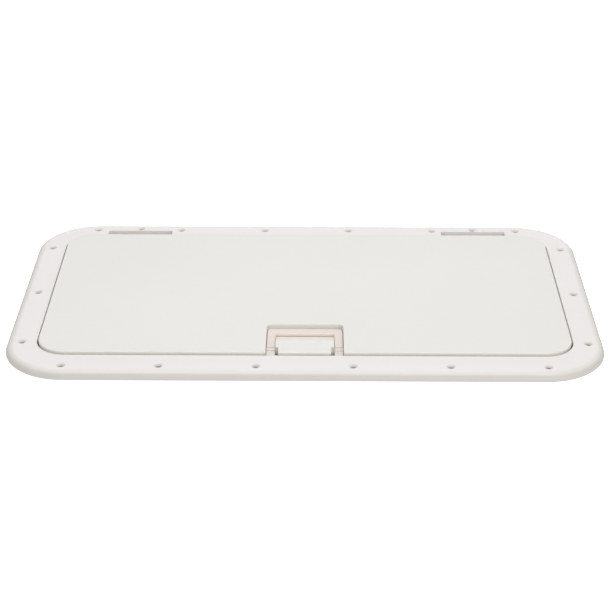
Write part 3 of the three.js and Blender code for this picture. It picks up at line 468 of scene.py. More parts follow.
class Finish:
    """A material being made: object coordinates in metres, noise on them and one Principled shader."""

    def __init__(self, name):
        self.material = bpy.data.materials.new(name)
        self.material.use_nodes = True
        self.tree = self.material.node_tree
        self.shader = self.tree.nodes["Principled BSDF"]
        self.place = add_node(self.tree, "ShaderNodeTexCoord", None, None, "Object")

    def node(self, kind, settings=None, inputs=None, output=0):
        return add_node(self.tree, kind, settings, inputs, output)

    def stretched(self, x, y, z):
        """The object's coordinates multiplied by a factor for each direction."""
        return self.node("ShaderNodeVectorMath", {"operation": "MULTIPLY"}, {0: self.place, 1: (x, y, z)})

    def axis(self, name):
        return self.node("ShaderNodeSeparateXYZ", None, {0: self.place}, name)

    def kept(self, name):
        """A number that the mesh keeps at its points."""
        return self.node("ShaderNodeAttribute", {"attribute_name": name}, None, "Fac")

    def noise(self, scale, detail=2.0, rough=0.5, place=None):
        inputs = {"Vector": place or self.place, "Scale": scale, "Detail": detail, "Roughness": rough}
        return self.node("ShaderNodeTexNoise", None, inputs)

    def cells(self, scale):
        """Distance to the nearest of many scattered points, from 0."""
        return self.node("ShaderNodeTexVoronoi", None, {"Vector": self.place, "Scale": scale})

    def mix(self, amount, first, second):
        """A colour between two colours."""
        settings = {"data_type": "RGBA"}
        return self.node("ShaderNodeMix", settings, {0: amount, 6: first, 7: second}, 2)

    def bump(self, height, strength, distance, normal=None):
        inputs = {"Height": height, "Strength": strength, "Distance": distance}
        if normal:
            inputs["Normal"] = normal
        return self.node("ShaderNodeBump", None, inputs)

    def set(self, **inputs):
        """Sets the shader's sockets, by their names with spaces as underscores."""
        for name, value in inputs.items():
            socket = self.shader.inputs[name.replace("_", " ")]
            if isinstance(value, Value):
                self.tree.links.new(value.socket, socket)
            else:
                socket.default_value = value
        return self.material


# ------------------------------------------------------------------ finishes


def moulded_plastic(name, main, aged, grain, rough, rim_shade=0.0, low_shade_tint=None):
    """White plastic from a mould: a fine grain in the surface, a faint drift in its colour where the sun has
    aged it, hairline scuffs that are a little shinier, and where asked for painted shade: a darker colour low
    on the rim and in the screw holes. The low tint is (height of the full tint, height where it ends, amount,
    colour), a painted shade colour that shows where the mesh is marked for painted shade."""
    f = Finish(name)
    drift = f.noise(5.0, 3.0, 0.55)
    mottle = f.noise(120.0, 3.0, 0.6)
    speck = f.cells(900.0).step(0.06, 0.02) * f.noise(40.0).step(0.55, 0.7)
    scratch_a = f.noise(1.0, 2.0, 0.7, f.stretched(30.0, 1400.0, 200.0)).step(0.66, 0.72)
    scratch_b = f.noise(1.0, 2.0, 0.7, f.stretched(1100.0, 60.0, 200.0)).step(0.68, 0.74)
    worn = (scratch_a + scratch_b) * f.noise(14.0, 2.0).step(0.5, 0.68) * 0.3
    tone = (drift - 0.5) * 0.9 + (mottle - 0.5) * 0.35 + 0.4
    base = f.mix(tone.clamp(), main, aged)
    base = f.mix((speck * 0.35).clamp(), base, colour(176, 168, 152))
    base = f.mix((worn * 0.25).clamp(), base, colour(244, 243, 240))
    if rim_shade:
        # distance out from the middles of the frame's round corners, level with the straight sides
        past_x = (f.axis("X").size() - (FRAME[1] - FRAME_CORNER) * MM).above(0.0)
        past_y = (f.axis("Y").size() - (FRAME[3] - FRAME_CORNER) * MM).above(0.0)
        rim = ((past_x * past_x + past_y * past_y) ** 0.5).step(0.056, 0.0585)
        height = f.axis("Z")
        low = (1 - height.step(0.0240, 0.0286)) * (height.step(0.0190, 0.0248) * 0.9 + 0.1)
        # Painted shade: the marked screw holes are darkened, standing in for the shade down inside them.
        base = f.mix((f.kept("painted_shade") * 0.75).clamp(), base, colour(198, 190, 174))
        # Painted shade: the rim's colour is darkened low down, most below mid height and less at its foot,
        # standing in for the shade that falls there.
        shade_band = rim * low * (f.noise(35.0, 3.0, 0.6) * 0.5 + 0.75) * rim_shade
        base = f.mix(shade_band.clamp(), base, colour(186, 178, 160))
    if low_shade_tint:
        bottom, top, amount, tint = low_shade_tint
        # Painted shade: a warm tan colour that grows towards the bottom of the marked walls, standing in for
        # the shade there.
        deep = (1 - f.axis("Z").step(bottom, top)) * f.kept("painted_shade")
        base = f.mix((deep * amount).clamp(), base, tint)
    fine = f.noise(grain, 2.0, 0.6)
    pits = f.cells(grain * 0.55)
    skin = f.bump(fine * 0.6 + pits * 0.4, 0.32, 0.00006)
    wave = f.bump(f.noise(9.0, 1.0), 0.25, 0.0006, skin)
    rub = f.bump(worn, 0.15, 0.00002, wave)
    gloss = (rough + (mottle - 0.5) * 0.10 + (fine - 0.5) * 0.08 - worn * 0.12).clamp()
    return f.set(Base_Color=base, Roughness=gloss, Normal=rub, IOR=1.49, Specular_IOR_Level=0.45)


def seal_rubber(name):
    """Dark foam rubber with a skin: tiny pores, a dusty bloom, and a faint shine where the lid presses."""
    f = Finish(name)
    pores = f.cells(2600.0)
    bloom = f.noise(60.0, 4.0, 0.65)
    pressed = f.axis("Z").step(0.0179, 0.0187)
    base = f.mix((bloom - 0.35).clamp(), colour(38, 38, 40), colour(74, 73, 71))
    base = f.mix((pressed * 0.3).clamp(), base, colour(30, 30, 31))
    gloss = (0.78 + (bloom - 0.5) * 0.25 - pressed * 0.15).clamp()
    skin = f.bump(pores * 0.7 + f.noise(900.0) * 0.3, 0.35, 0.0001)
    return f.set(Base_Color=base, Roughness=gloss, Normal=skin, IOR=1.5)


def stainless(name, tone=0.62):
    """Stainless steel, drawn along X: fine lines in the metal, cloudy roughness and small tea stains."""
    f = Finish(name)
    drawn = f.noise(1.0, 3.0, 0.6, f.stretched(120.0, 5200.0, 5200.0))
    cloud = f.noise(220.0, 3.0)
    stain = f.noise(520.0, 2.0).step(0.66, 0.78)
    light = (tone, tone * 0.99, tone * 0.965, 1.0)
    dark = (tone * 0.82, tone * 0.81, tone * 0.79, 1.0)
    base = f.mix((drawn * 0.6 + cloud * 0.4).clamp(), light, dark)
    base = f.mix((stain * 0.45).clamp(), base, colour(134, 104, 76))
    gloss = (0.24 + drawn * 0.18 + cloud * 0.1 + stain * 0.25).clamp()
    metal = (1 - stain * 0.4).clamp()
    return f.set(Base_Color=base, Roughness=gloss, Metallic=metal, Normal=f.bump(drawn, 0.25, 0.00004))


# Painted shade colours, each (height of the full tint, height where it ends, amount, colour): a warm tan low
# on the tray's ramp and scoop, and low on the lid's edge and recess walls.
TRAY_SHADE_TINT = (0.0216, 0.0292, 0.7, colour(238, 229, 216))
LID_SHADE_TINT = (0.0262, 0.0284, 0.8, colour(236, 227, 208))

# each is the material and the record's slot that it belongs to
FRAME_PLASTIC = (
    moulded_plastic(
        "frame_plastic", colour(234, 231, 230), colour(229, 225, 223), 2400.0, 0.42, rim_shade=0.48
    ),
    "frame_plastic",
)
LID_PLASTIC = (
    moulded_plastic(
        "lid_plastic", colour(229, 228, 226), colour(225, 222, 216), 1700.0, 0.62, low_shade_tint=LID_SHADE_TINT
    ),
    "lid_plastic",
)
LATCH_PLASTIC = (
    moulded_plastic("latch_plastic", colour(231, 223, 218), colour(225, 216, 208), 2600.0, 0.22),
    "latch_plastic",
)
TRAY_PLASTIC = (
    moulded_plastic(
        "tray_plastic", colour(231, 230, 228), colour(227, 224, 219), 2200.0, 0.4, low_shade_tint=TRAY_SHADE_TINT
    ),
    "latch_plastic",
)
HINGE_PLASTIC = (
    moulded_plastic("hinge_plastic", colour(240, 238, 233), colour(234, 229, 220), 2600.0, 0.5),
    "hinge_plastic",
)
SEAL = (seal_rubber("seal_rubber"), "seal_rubber")
STEEL = (stainless("stainless"), "stainless")
SPRING_STEEL = (stainless("spring_steel", 0.5), "stainless")


# ------------------------------------------------------------------ frame


def frame_ring(inset, height):
    sides = (FRAME[0] + inset, FRAME[1] - inset, FRAME[2] + inset, FRAME[3] - inset)
    return ring(rectangle(sides, FRAME_CORNER - inset, 28), 0, height)


def opening_ring(inset, height):
    sides = (OPENING[0] + inset, OPENING[1] - inset, OPENING[2] + inset, OPENING[3] - inset)
    return ring(rectangle(sides, OPENING_CORNER - inset, 28), 0, height)


def frame_shell():
    """One closed section carried round the frame: rim, flange, opening wall, gutter, lip, collar and back
    along the underside. The outer part follows the frame's outline and the rest the opening's."""
    rim = [(0.5, RIM_FOOT), (0, RIM_FOOT + 0.5), *quarter((0, TOP - RIM_DOWN), (RIM_IN, TOP), 12)]
    inside = [
        (-1.4, TOP),
        *quarter((-0.8, TOP), (0, TOP - 0.8), 5, hollow=True),
        *quarter((0, GUTTER_TOP + 2), (2, GUTTER_TOP), 4),
        *quarter((LIP_OUT - 1.2, GUTTER_TOP), (LIP_OUT, GUTTER_TOP + 1.2), 4, hollow=True),
        (LIP_OUT, LIP_TOP - 0.4),
        (LIP_OUT + 0.4, LIP_TOP),
        (LIP_IN - 0.4, LIP_TOP),
        (LIP_IN, LIP_TOP - 0.4),
        (LIP_IN, GUTTER_BOTTOM + 0.5),
        (LIP_IN - 0.5, GUTTER_BOTTOM),
        (1.5, GUTTER_BOTTOM),
        (0, GUTTER_BOTTOM - 1.5),
        (0, 0.5),
        (-0.5, 0),
        (0.5 - COLLAR_WALL, 0),
        (-COLLAR_WALL, 0.5),
        (-COLLAR_WALL, TOP - FLANGE_SHEET - 1.2),
        (-COLLAR_WALL - 1.2, TOP - FLANGE_SHEET),
    ]
    under = [
        (RIM_WALL + 2, TOP - FLANGE_SHEET),
        (RIM_WALL, TOP - FLANGE_SHEET - 2),
        (RIM_WALL, RIM_FOOT + 0.4),
        (RIM_WALL - 0.4, RIM_FOOT),
    ]
    rings = [frame_ring(*level) for level in rim]
    rings += [frame_ring(RIM_IN + 0.8, TOP)]
    rings += [opening_ring(*level) for level in inside]
    rings += [frame_ring(*level) for level in under]
    return loft(rings, closed=True)


def hole_places():
    """Middle of every fixing hole."""
    front = [(x, FRONT_HOLE_Y) for x in HOLE_XS]
    back = [(x, BACK_HOLE_Y) for x in HOLE_XS]
    sides = [(way * SIDE_HOLE_X, y) for way in (-1, 1) for y in HOLE_YS]
    hinges = [(way * HINGE_X, HINGE_HOLE_Y) for way in (-1, 1)]
    return front + back + sides + hinges


def countersink(x, y):
    """A through hole with a cone at its top, whose mouth is rounded."""
    cone = [
        (SINK_RADIUS + 0.3 * (1 - math.cos(a)) - 0.2, TOP - 0.3 + 0.3 * math.sin(a))
        for a in np.linspace(0.3, QUARTER * 0.9, 4)
    ]
    shank = [(HOLE_RADIUS, RIM_FOOT - 1), (HOLE_RADIUS, TOP - SINK_DEPTH)]
    return turned([*shank, *cone, (SINK_RADIUS + 0.12, TOP + 1)], x, y, 48)


def frame_ribs():
    """The boss round each hole, and the ribs that tie bosses to the rim and the collar."""
    high = TOP - FLANGE_SHEET / 2
    half = RIB / 2
    made = [
        turned([(BOSS_RADIUS, RIM_FOOT), (BOSS_RADIUS, high - 2.4), (BOSS_RADIUS + 0.8, high)], x, y, 32)
        for x, y in hole_places()
    ]
    for x in HOLE_XS:
        made.append(box(x - half, x + half, FRAME[2] + 3.5, OPENING[2] - 1.5, RIM_FOOT + 0.2, high))
        made.append(box(x - half, x + half, OPENING[3] + 1.5, FRAME[3] - 3.5, RIM_FOOT + 0.2, high))
    for y in HOLE_YS:
        made.append(box(FRAME[0] + 3.5, OPENING[0] - 1.5, y - half, y + half, RIM_FOOT + 0.2, high))
        made.append(box(OPENING[1] + 1.5, FRAME[1] - 3.5, y - half, y + half, RIM_FOOT + 0.2, high))
    return made


def gusset(wall, way, middle):
    """A three-cornered web that stands inwards from a wall, drawn in side view and pulled along its width."""
    high = GUTTER_BOTTOM + 1
    corners = [(wall - way, 1), (wall + way * 0.4, 1), (wall + way * GUSSET_REACH, high), (wall - way, high)]
    return prism(rounded(corners[::way], 0.2, 1), middle - GUSSET_HALF, middle + GUSSET_HALF)


def gussets():
    """Six along the front and six along the back, three on each side, under the gutter."""
    made = []
    for x in (np.arange(6) - 2.5) * GUSSET_PITCH_LONG:
        made += [sideways(gusset(wall, way, x)) for wall, way in ((OPENING[2], 1), (OPENING[3], -1))]
    middle = (OPENING[2] + OPENING[3]) / 2
    for y in middle + (np.arange(3) - 1) * GUSSET_PITCH_SHORT:
        for wall, way in ((OPENING[0], 1), (OPENING[1], -1)):
            points, faces = gusset(wall, way, y)
            made.append(outward(points[:, [0, 2, 1]], faces))
    return made


def in_hole(x, y, z):
    """Whether each point is inside a fixing hole's straight part."""
    away = [np.hypot(x - hole_x, y - hole_y) for hole_x, hole_y in hole_places()]
    return (np.min(away, axis=0) < HOLE_RADIUS + 0.3) & (z < TOP - 1)


def frame_piece():
    hinges = (-HINGE_X, HINGE_X)
    pockets = [
        box(x - SLOT_HALF - 5, x + SLOT_HALF + 5, OPENING[3] + 1.5, SLOT_BACK + 2.2, RIM_FOOT, TOP - 1.6)
        for x in hinges
    ]
    cuts = [countersink(x, y) for x, y in hole_places()]
    for x in hinges:
        sides = (x - SLOT_HALF, x + SLOT_HALF, OPENING[3] - 6, SLOT_BACK)
        cuts.append(flared(rectangle(sides, 1.2, 5), POCKET_FLOOR, TOP, 0.5))
        cuts.append(rod(PIN_RADIUS + FIT, x - PIN_HALF - 0.5, x + PIN_HALF + 0.5, AXIS_Y, AXIS_Z))
    cuts += [turned([(SCREW_BORE, 5), (SCREW_BORE, 11)], x, STRIKE_SCREW_Y, 24) for x in STRIKE_SCREW_XS]
    mesh = build(frame_shell(), ("UNION", [*frame_ribs(), *gussets(), *pockets]), ("DIFFERENCE", cuts))
    made = piece("frame_moulding", mesh, "frame", FRAME_PLASTIC, ["frame"])
    # Marks the straight part of each screw hole for its painted shade.
    keep(made.data, "painted_shade", in_hole)


# ------------------------------------------------------------------ gasket


def gasket_piece():
    """A bulb on two legs that grip the lip, carried round the opening as one closed section."""
    section = [
        (27.8, 10.8),
        (27.8, 15.2),
        *quarter((27.5, 15.6), (26.3, 16.4), 3),
        (26.3, 17.3),
        *quarter((26.3, 17.3), (24.5, 18.7), 5),
        *quarter((24.5, 18.7), (22.7, 17.3), 5, hollow=True),
        (22.7, 16.4),
        *quarter((22.7, 16.4), (21.5, 15.6), 3, hollow=True),
        (21.2, 15.2),
        (21.2, 10.8),
        (21.6, 10.5),
        (22.4, 10.5),
        (22.7, 10.8),
        (22.7, 14.0),
        (26.3, 14.0),
        (26.3, 10.8),
        (26.6, 10.5),
        (27.4, 10.5),
    ]
    rings = [opening_ring(inset, height) for inset, height in section]
    piece("seal_gasket", mesh_of([loft(rings, closed=True)]), "frame", SEAL, ["gasket"], sharp=50)


# ------------------------------------------------------------------ lid


def lid_ring(inset, height):
    sides = (LID[0] + inset, LID[1] - inset, LID[2] + inset, LID[3] - inset)
    return ring(rectangle(sides, LID_CORNER - inset, 28), 0, height)


def lid_shell():
    """A shallow tray upside down: underside, skirt and top, as one outline that moves in and out."""
    levels = [
        (SKIRT + 2, LID_UNDER),
        *quarter((SKIRT + 1, LID_UNDER), (SKIRT, LID_UNDER - 1), 3, hollow=True),
        (SKIRT, LID_FOOT + 0.4),
        (SKIRT - 0.4, LID_FOOT),
        (0.4, LID_FOOT),
        (0, LID_FOOT + 0.4),
        *quarter((0, LID_TOP - 1.1), (1.1, LID_TOP), 6),
        (1.9, LID_TOP),
    ]
    return loft([lid_ring(*level) for level in levels])


def lid_ribs():
    """The rib that presses the seal, a grid inside it and short ribs out to the skirt."""
    half = RIB / 2
    seal = [(-1.25, LID_UNDER + 1), (-1.25, LID_FOOT + 0.3), (-0.95, LID_FOOT), (0.95, LID_FOOT)]
    seal += [(1.25, LID_FOOT + 0.3), (1.25, LID_UNDER + 1)]
    made = [loft([opening_ring(24.5 + across, height) for across, height in seal], closed=True)]
    x0, x1 = OPENING[0] + 24.5, OPENING[1] - 24.5
    y0, y1 = OPENING[2] + 24.5, OPENING[3] - 24.5
    high = LID_UNDER + 1
    for y in (y0 + y1) / 2 + (np.arange(3) - 1) * (y1 - y0) / 4:
        made.append(box(x0, x1, y - half, y + half, GRID_FOOT, high))
        made.append(box(LID[0] + 1, x0, y - half, y + half, GRID_FOOT, high))
        made.append(box(x1, LID[1] - 1, y - half, y + half, GRID_FOOT, high))
    for x in (np.arange(7) - 3) * (x1 - x0) / 8:
        made.append(box(x - half, x + half, y0, y1, GRID_FOOT, high))
    pitch = (LID[1] - TRAY_HALF - LID_CORNER) / 4
    for i in range(1, 5):
        for way in (-1, 1):
            x = way * (TRAY_HALF + i * pitch)
            made.append(box(x - half, x + half, LID[2] + 1, y0, GRID_FOOT, high))
    return made


def at_lid_edge(x, y, z):
    """Whether each point is on the lid's outer edge or the recess's wall. The distance in from the rounded
    edge is the corner radius less the length of what sticks out past the middles of the corners."""
    middle_y = (LID[2] + LID[3]) / 2
    past_x = np.maximum(np.abs(x) - LID[1] + LID_CORNER, 0)
    past_y = np.maximum(np.abs(y - middle_y) - (LID[3] - LID[2]) / 2 + LID_CORNER, 0)
    outer = LID_CORNER - np.hypot(past_x, past_y) < 0.2
    wall = (np.abs(x) < RECESS_HALF + 0.2) & (y < RECESS_BACK + 0.2)
    return outer | wall


def lid_piece():
    hinges = (-HINGE_X, HINGE_X)
    tray = TRAY_HALF + FIT
    ears = tray + TRAY_EAR
    ear_front = TRAY_SCREW_YS[0] - SCREW_BOSS - 1
    clearances = [
        box(-tray, tray, LID[2] - 10, TRAY_BACK + FIT, LID_FOOT - 1, LID_UNDER),
        box(-ears, ears, ear_front, TRAY_BACK + FIT, LID_FOOT - 1, LID_UNDER),
    ]
    clearances += [
        box(x - SLOT_HALF, x + SLOT_HALF, LID[3] - SKIRT - 1, LID[3] + 2, LID_FOOT - 1, LID_UNDER)
        for x in hinges
    ]
    additions = [
        box(x - ARM_HALF, x + ARM_HALF, ARM_FRONT, ARM_BEND - 0.5, ARM_TOP + FIT, LID_UNDER + 1)
        for x in hinges
    ]
    screws = [(way * TRAY_SCREW_X, y) for way in (-1, 1) for y in TRAY_SCREW_YS]
    boss = [(SCREW_BOSS, TRAY_EAR_TOP + FIT), (SCREW_BOSS, LID_UNDER - 2), (SCREW_BOSS + 0.8, LID_UNDER + 1)]
    additions += [turned(boss, x, y, 32) for x, y in screws]
    screws += [(x + dx, ARM_SCREW_Y) for x in hinges for dx in ARM_SCREWS]
    bore = [(SCREW_BORE, LID_FOOT - 1), (SCREW_BORE, LID_UNDER + 0.7)]
    holes = [turned(bore, x, y, 24) for x, y in screws]
    sides = (-RECESS_HALF, RECESS_HALF, LID[2] - 30, RECESS_BACK)
    recess = flared(rectangle(sides, RECESS_CORNER, 10), LID_UNDER - 1, LID_TOP, 0.7)
    mesh = build(
        lid_shell(),
        ("UNION", lid_ribs()),
        ("DIFFERENCE", clearances),
        ("UNION", additions),
        ("DIFFERENCE", [recess, *holes]),
    )
    made = piece("lid_moulding", mesh, "lid", LID_PLASTIC, ["lid"])
    # Marks the lid's outer edge and the recess walls for their painted shade colour.
    keep(made.data, "painted_shade", at_lid_edge)


# ------------------------------------------------------------------ hinges


def arm_outline():
    """Side view of an arm: a plate that bends up into a round knuckle about the pin."""
    round_part = np.linspace(-QUARTER, 0.75 * math.pi, 22)
    knuckle = [
        (AXIS_Y + KNUCKLE_RADIUS * math.cos(a), AXIS_Z + KNUCKLE_RADIUS * math.sin(a)) for a in round_part
    ]
    below = [(ARM_FRONT, ARM_BOTTOM), (ARM_BEND - 1, ARM_BOTTOM), (OPENING[3] - 0.8, AXIS_Z - KNUCKLE_RADIUS)]
    above = [(ARM_BEND + 1.5, ARM_TOP + 0.6), (ARM_BEND, ARM_TOP), (ARM_FRONT, ARM_TOP)]
    corners = below + knuckle + above
    radii = [0.8, 3, 2] + [0.02] * len(knuckle) + [1.2, 3, 0.8]
    return rounded(corners, radii, 4)


def screw(x, y, seat, length, way):
    """A pan head screw: a domed head, a shank whose radius follows a screw thread, and a point. The thread's
    radius at an angle and height is a triangle wave of height over pitch less angle over a full turn."""
    sides, core, crest, pitch, point = 32, 1.25, 0.38, 1.1, 1.8
    heights = np.linspace(0, length, 70)
    angle = np.arange(sides) * 2 * math.pi / sides
    phase = heights[:, None] / pitch - angle[None, :] / (2 * math.pi)
    thread = crest * np.abs((phase % 1) - 0.5) * 2
    taper = np.clip((length - heights) / point, 0.12, 1)[:, None]
    radius = (core + thread) * taper
    head = [(0.3, -2.0), (1.6, -1.93), (2.5, -1.6), (3.0, -1.05), (3.2, -0.5), (3.2, -0.15), (3.05, 0)]
    rows = [np.full(sides, r) for r, _ in head] + list(radius)
    levels = [z for _, z in head] + list(heights)
    rings = [
        np.column_stack([x + r * np.cos(angle), y + r * np.sin(angle), np.full(sides, seat + way * z)])
        for r, z in zip(rows, levels)
    ]
    # the cross in the head, from above the head down to 0.8 mm over its seat
    low, high = sorted((seat - way * 3.0, seat - way * 0.8))
    arms = [box(x - a, x + a, y - b, y + b, low, high) for a, b in ((1.7, 0.36), (0.36, 1.7))]
    return build(loft(rings), ("DIFFERENCE", arms))


def hinge_arm(x):
    body = sideways(moulded(arm_outline(), chamfered(x - ARM_HALF, x + ARM_HALF, 0.3)))
    cuts = [rod(PIN_RADIUS + FIT, x - 40, x + 40, AXIS_Y, AXIS_Z)]
    bore = [(SCREW_BORE, ARM_BOTTOM - 1), (SCREW_BORE, ARM_TOP + 1)]
    cuts += [turned(bore, x + dx, ARM_SCREW_Y, 24) for dx in ARM_SCREWS]
    return build(body, ("DIFFERENCE", cuts))


def pin_clip(x, way):
    """A ring on the pin at one end of the arm, open at its top."""
    x0, x1 = sorted((x + way * CLIP_AWAY, x + way * (CLIP_AWAY + CLIP_THICKNESS)))
    clip = rod(CLIP_RADIUS, x0, x1, AXIS_Y, AXIS_Z, 0.15)
    gap = box(x0 - 1, x1 + 1, AXIS_Y - 0.7, AXIS_Y + 0.7, AXIS_Z + 1, AXIS_Z + 4)
    hole = rod(PIN_RADIUS + FIT, x0 - 3, x1 + 3, AXIS_Y, AXIS_Z)
    return build(clip, ("DIFFERENCE", [hole, gap]))


def hinge_pieces():
    for side, x in (("left", -HINGE_X), ("right", HINGE_X)):
        piece(f"hinge_arm_moulding_{side}", hinge_arm(x), "lid", HINGE_PLASTIC, [f"hinge_arm_{side}"])
        pin = rod(PIN_RADIUS, x - PIN_HALF, x + PIN_HALF, AXIS_Y, AXIS_Z, 0.3)
        piece(f"hinge_rod_{side}", mesh_of([pin]), "frame", STEEL, [f"hinge_pin_{side}"])
        for number, way in ((1, -1), (2, 1)):
            replaced = [f"hinge_pin_clip_{side}_{number}"]
            piece(f"pin_clip_{side}_{number}", pin_clip(x, way), "frame", STEEL, replaced)
        for number, dx in enumerate(ARM_SCREWS, 1):
            mesh = screw(x + dx, ARM_SCREW_Y, ARM_SCREW_SEAT, ARM_SCREW_LENGTH, 1)
            piece(f"arm_screw_{side}_{number}", mesh, "lid", STEEL, [f"hinge_screw_{side}_{number}"])


# ------------------------------------------------------------------ latch tray


def ramp_cutter(half):
    """Space above the finger ramp: flat brow, an easy curve down the ramp, a dip under the bar."""
    corners = [
        (BROW_Y - 14, LID_TOP + CORNER),
        (BROW_Y, LID_TOP + CORNER),
        (BAR_FRONT, RAMP_FOOT),
        (BAR_FRONT + 6, SCOOP_FLOOR),
        (RECESS_BACK, SCOOP_FLOOR),
        (RECESS_BACK, LID_TOP + 10),
        (BROW_Y - 14, LID_TOP + 10),
    ]
    return sideways(prism(rounded(corners, [CORNER, 14, 8, 5, 2.5, CORNER, CORNER], 10), -half, half))


def tray_piece():
    front = LID[2]
    corners = [(-TRAY_HALF, front), (TRAY_HALF, front), (TRAY_HALF, TRAY_BACK), (-TRAY_HALF, TRAY_BACK)]
    body = prism(rounded(corners, [CORNER, CORNER, 7.2, 7.2], 8), LID_FOOT, TRAY_TOP)
    ears = TRAY_HALF + TRAY_EAR
    brow = [(front, TRAY_TOP - 1), (BROW_Y + 4, TRAY_TOP - 1), (BROW_Y + 4, LID_TOP), (front, LID_TOP)]
    additions = [
        box(-31.1, 31.1, BAR_FRONT - 12, TRAY_BACK - 1, 15.3, LID_FOOT + 1),
        sideways(prism(rounded(brow, [CORNER, CORNER, CORNER, 1.5], 6), -RAMP_HALF, RAMP_HALF)),
        *[box(-ears, ears, y - SCREW_BOSS, y + SCREW_BOSS, LID_FOOT, TRAY_EAR_TOP) for y in TRAY_SCREW_YS],
    ]
    for way in (-1, 1):
        for near, far in ((CORE_HALF, CORE_HALF + RAMP_WALL), (RECESS_HALF, TRAY_HALF + 1)):
            x0, x1 = sorted((way * near, way * far))
            additions.append(box(x0, x1, PIVOT_Y - 3.6, PIVOT_Y + 3.6, 17.25, TRAY_TOP))
    cuts = [ramp_cutter(RAMP_HALF)]
    window = PIVOT_Y + HOOK_WINDOW
    for way in (-1, 1):
        x0, x1 = sorted((way * RAMP_HALF, way * RECESS_HALF))
        cuts.append(box(x0, x1, front - 1, RECESS_BACK - RECESS_CORNER, CHANNEL_FLOOR, LID_TOP + 5))
        cuts.append(box(x0, x1, front - 1, window, -1, CHANNEL_FLOOR + 1))
        corners = [(x0, BAR_FRONT), (x1, BAR_FRONT), (x1, RECESS_BACK), (x0, RECESS_BACK)]
        radii = [CORNER] * 2 + ([RECESS_CORNER, CORNER] if way > 0 else [CORNER, RECESS_CORNER])
        cuts.append(prism(rounded(corners, radii, 8), CHANNEL_FLOOR, LID_TOP + 5))
        x0, x1 = sorted((way * (RAMP_HALF - NOTCH), way * (RAMP_HALF + 1)))
        cuts.append(box(x0, x1, front - 1, NOTCH_BACK, -1, LID_TOP + 5))
        cuts.append(rod(PIVOT_BORE, *sorted((way * 24.0, way * 44)), PIVOT_Y, PIVOT_Z))
    for y0, y1 in ((front + 2.2, -115.6), (-111.6, BAR_FRONT - 14)):
        slope = (LID_TOP - RAMP_FOOT) / (BROW_Y - BAR_FRONT)
        low = LID_TOP + slope * max(0.0, y1 - BROW_Y) - RAMP_WALL
        high = LID_TOP + slope * max(0.0, y0 - BROW_Y) - RAMP_WALL
        corners = [(y0, 15), (y1, 15), (y1, low), (y0, high)]
        cuts.append(sideways(prism(rounded(corners, 0.4, 3), -CORE_HALF, CORE_HALF)))
    bore = [(SCREW_BORE, LID_FOOT - 1), (SCREW_BORE, TRAY_EAR_TOP + 1)]
    cuts += [turned(bore, way * TRAY_SCREW_X, y, 24) for way in (-1, 1) for y in TRAY_SCREW_YS]
    mesh = build(body, ("UNION", additions), ("DIFFERENCE", cuts))
    made = piece("latch_tray_moulding", mesh, "lid", TRAY_PLASTIC, ["latch_tray"], bevel=0.35)
    # Marks the ramp and the scoop behind it for their painted shade colour, the soft shadow in front of the
    # bar.
    keep(made.data, "painted_shade", lambda x, y, z: y < BAR_FRONT + 20)


# ------------------------------------------------------------------ lift handle


def hook_outline():
    """Side view of a hook: a stem below the pin and a nose that points to the front."""
    y, z = PIVOT_Y, PIVOT_Z
    corners = [
        (y - 2.4, z),
        (y - 4.2, z - 2.4),
        (y - 4.2, z - 4.5),
        (y - 6.5, z - 4.5),
        (y - 6.5, z - 5.5),
        (y - 2.7, z - 8.5),
        (y + 1.5, z - 8.5),
        (y + 2.5, z - 7),
        (y + 2.5, z),
    ]
    return rounded(corners, [0.1, 0.6, 0.15, 0.2, 0.4, 0.8, 0.5, 0.5, 0.1], 4)


def handle_piece():
    corners = [
        (HANDLE_INNER, PIVOT_Y),
        (HANDLE_OUTER, PIVOT_Y),
        (HANDLE_OUTER, BAR_Y[1]),
        (-HANDLE_OUTER, BAR_Y[1]),
        (-HANDLE_OUTER, PIVOT_Y),
        (-HANDLE_INNER, PIVOT_Y),
        (-HANDLE_INNER, BAR_Y[0]),
        (HANDLE_INNER, BAR_Y[0]),
    ]
    outline = rounded(corners, [1.5] * 2 + [4.6] * 2 + [1.5] * 4, 8)
    levels = [
        *quarter((0.3, HANDLE_BOTTOM), (0, HANDLE_BOTTOM + 0.3), 3, hollow=True),
        *quarter((0, HANDLE_TOP - 1.2), (1.2, HANDLE_TOP), 5),
        (1.4, HANDLE_TOP),
    ]
    bow = moulded(outline, levels)
    cuts = [box(-60, 60, PIVOT_Y - 20, y, top, LID_TOP + 4) for y, top in FOOT_STEPS]
    feet = []
    for way in (-1, 1):
        x0, x1 = sorted((way * HANDLE_INNER, way * HANDLE_OUTER))
        feet.append(rod(FOOT_RADIUS, x0, x1, PIVOT_Y, PIVOT_Z, 0.3))
        corners = [(-134.5, 21.1), (-129.0, 21.1), (-129.0, 23.3), (-134.5, 23.3)]
        tongue = rounded(corners, [0.8, 0.1, 0.1, 0.8], 4)
        feet.append(sideways(moulded(tongue, chamfered(x0, x1, 0.3))))
        middle = way * HOOK_X
        width = chamfered(middle - HOOK_HALF, middle + HOOK_HALF, 0.3)
        feet.append(sideways(moulded(hook_outline(), width)))
    bore = rod(PIVOT_BORE, -45, 45, PIVOT_Y, PIVOT_Z)
    mesh = build(bow, ("DIFFERENCE", cuts), ("UNION", feet), ("DIFFERENCE", [bore]))
    piece("lift_bail", mesh, "handle", LATCH_PLASTIC, ["lift_handle"], bevel=0.22)


# ------------------------------------------------------------------ latch fittings


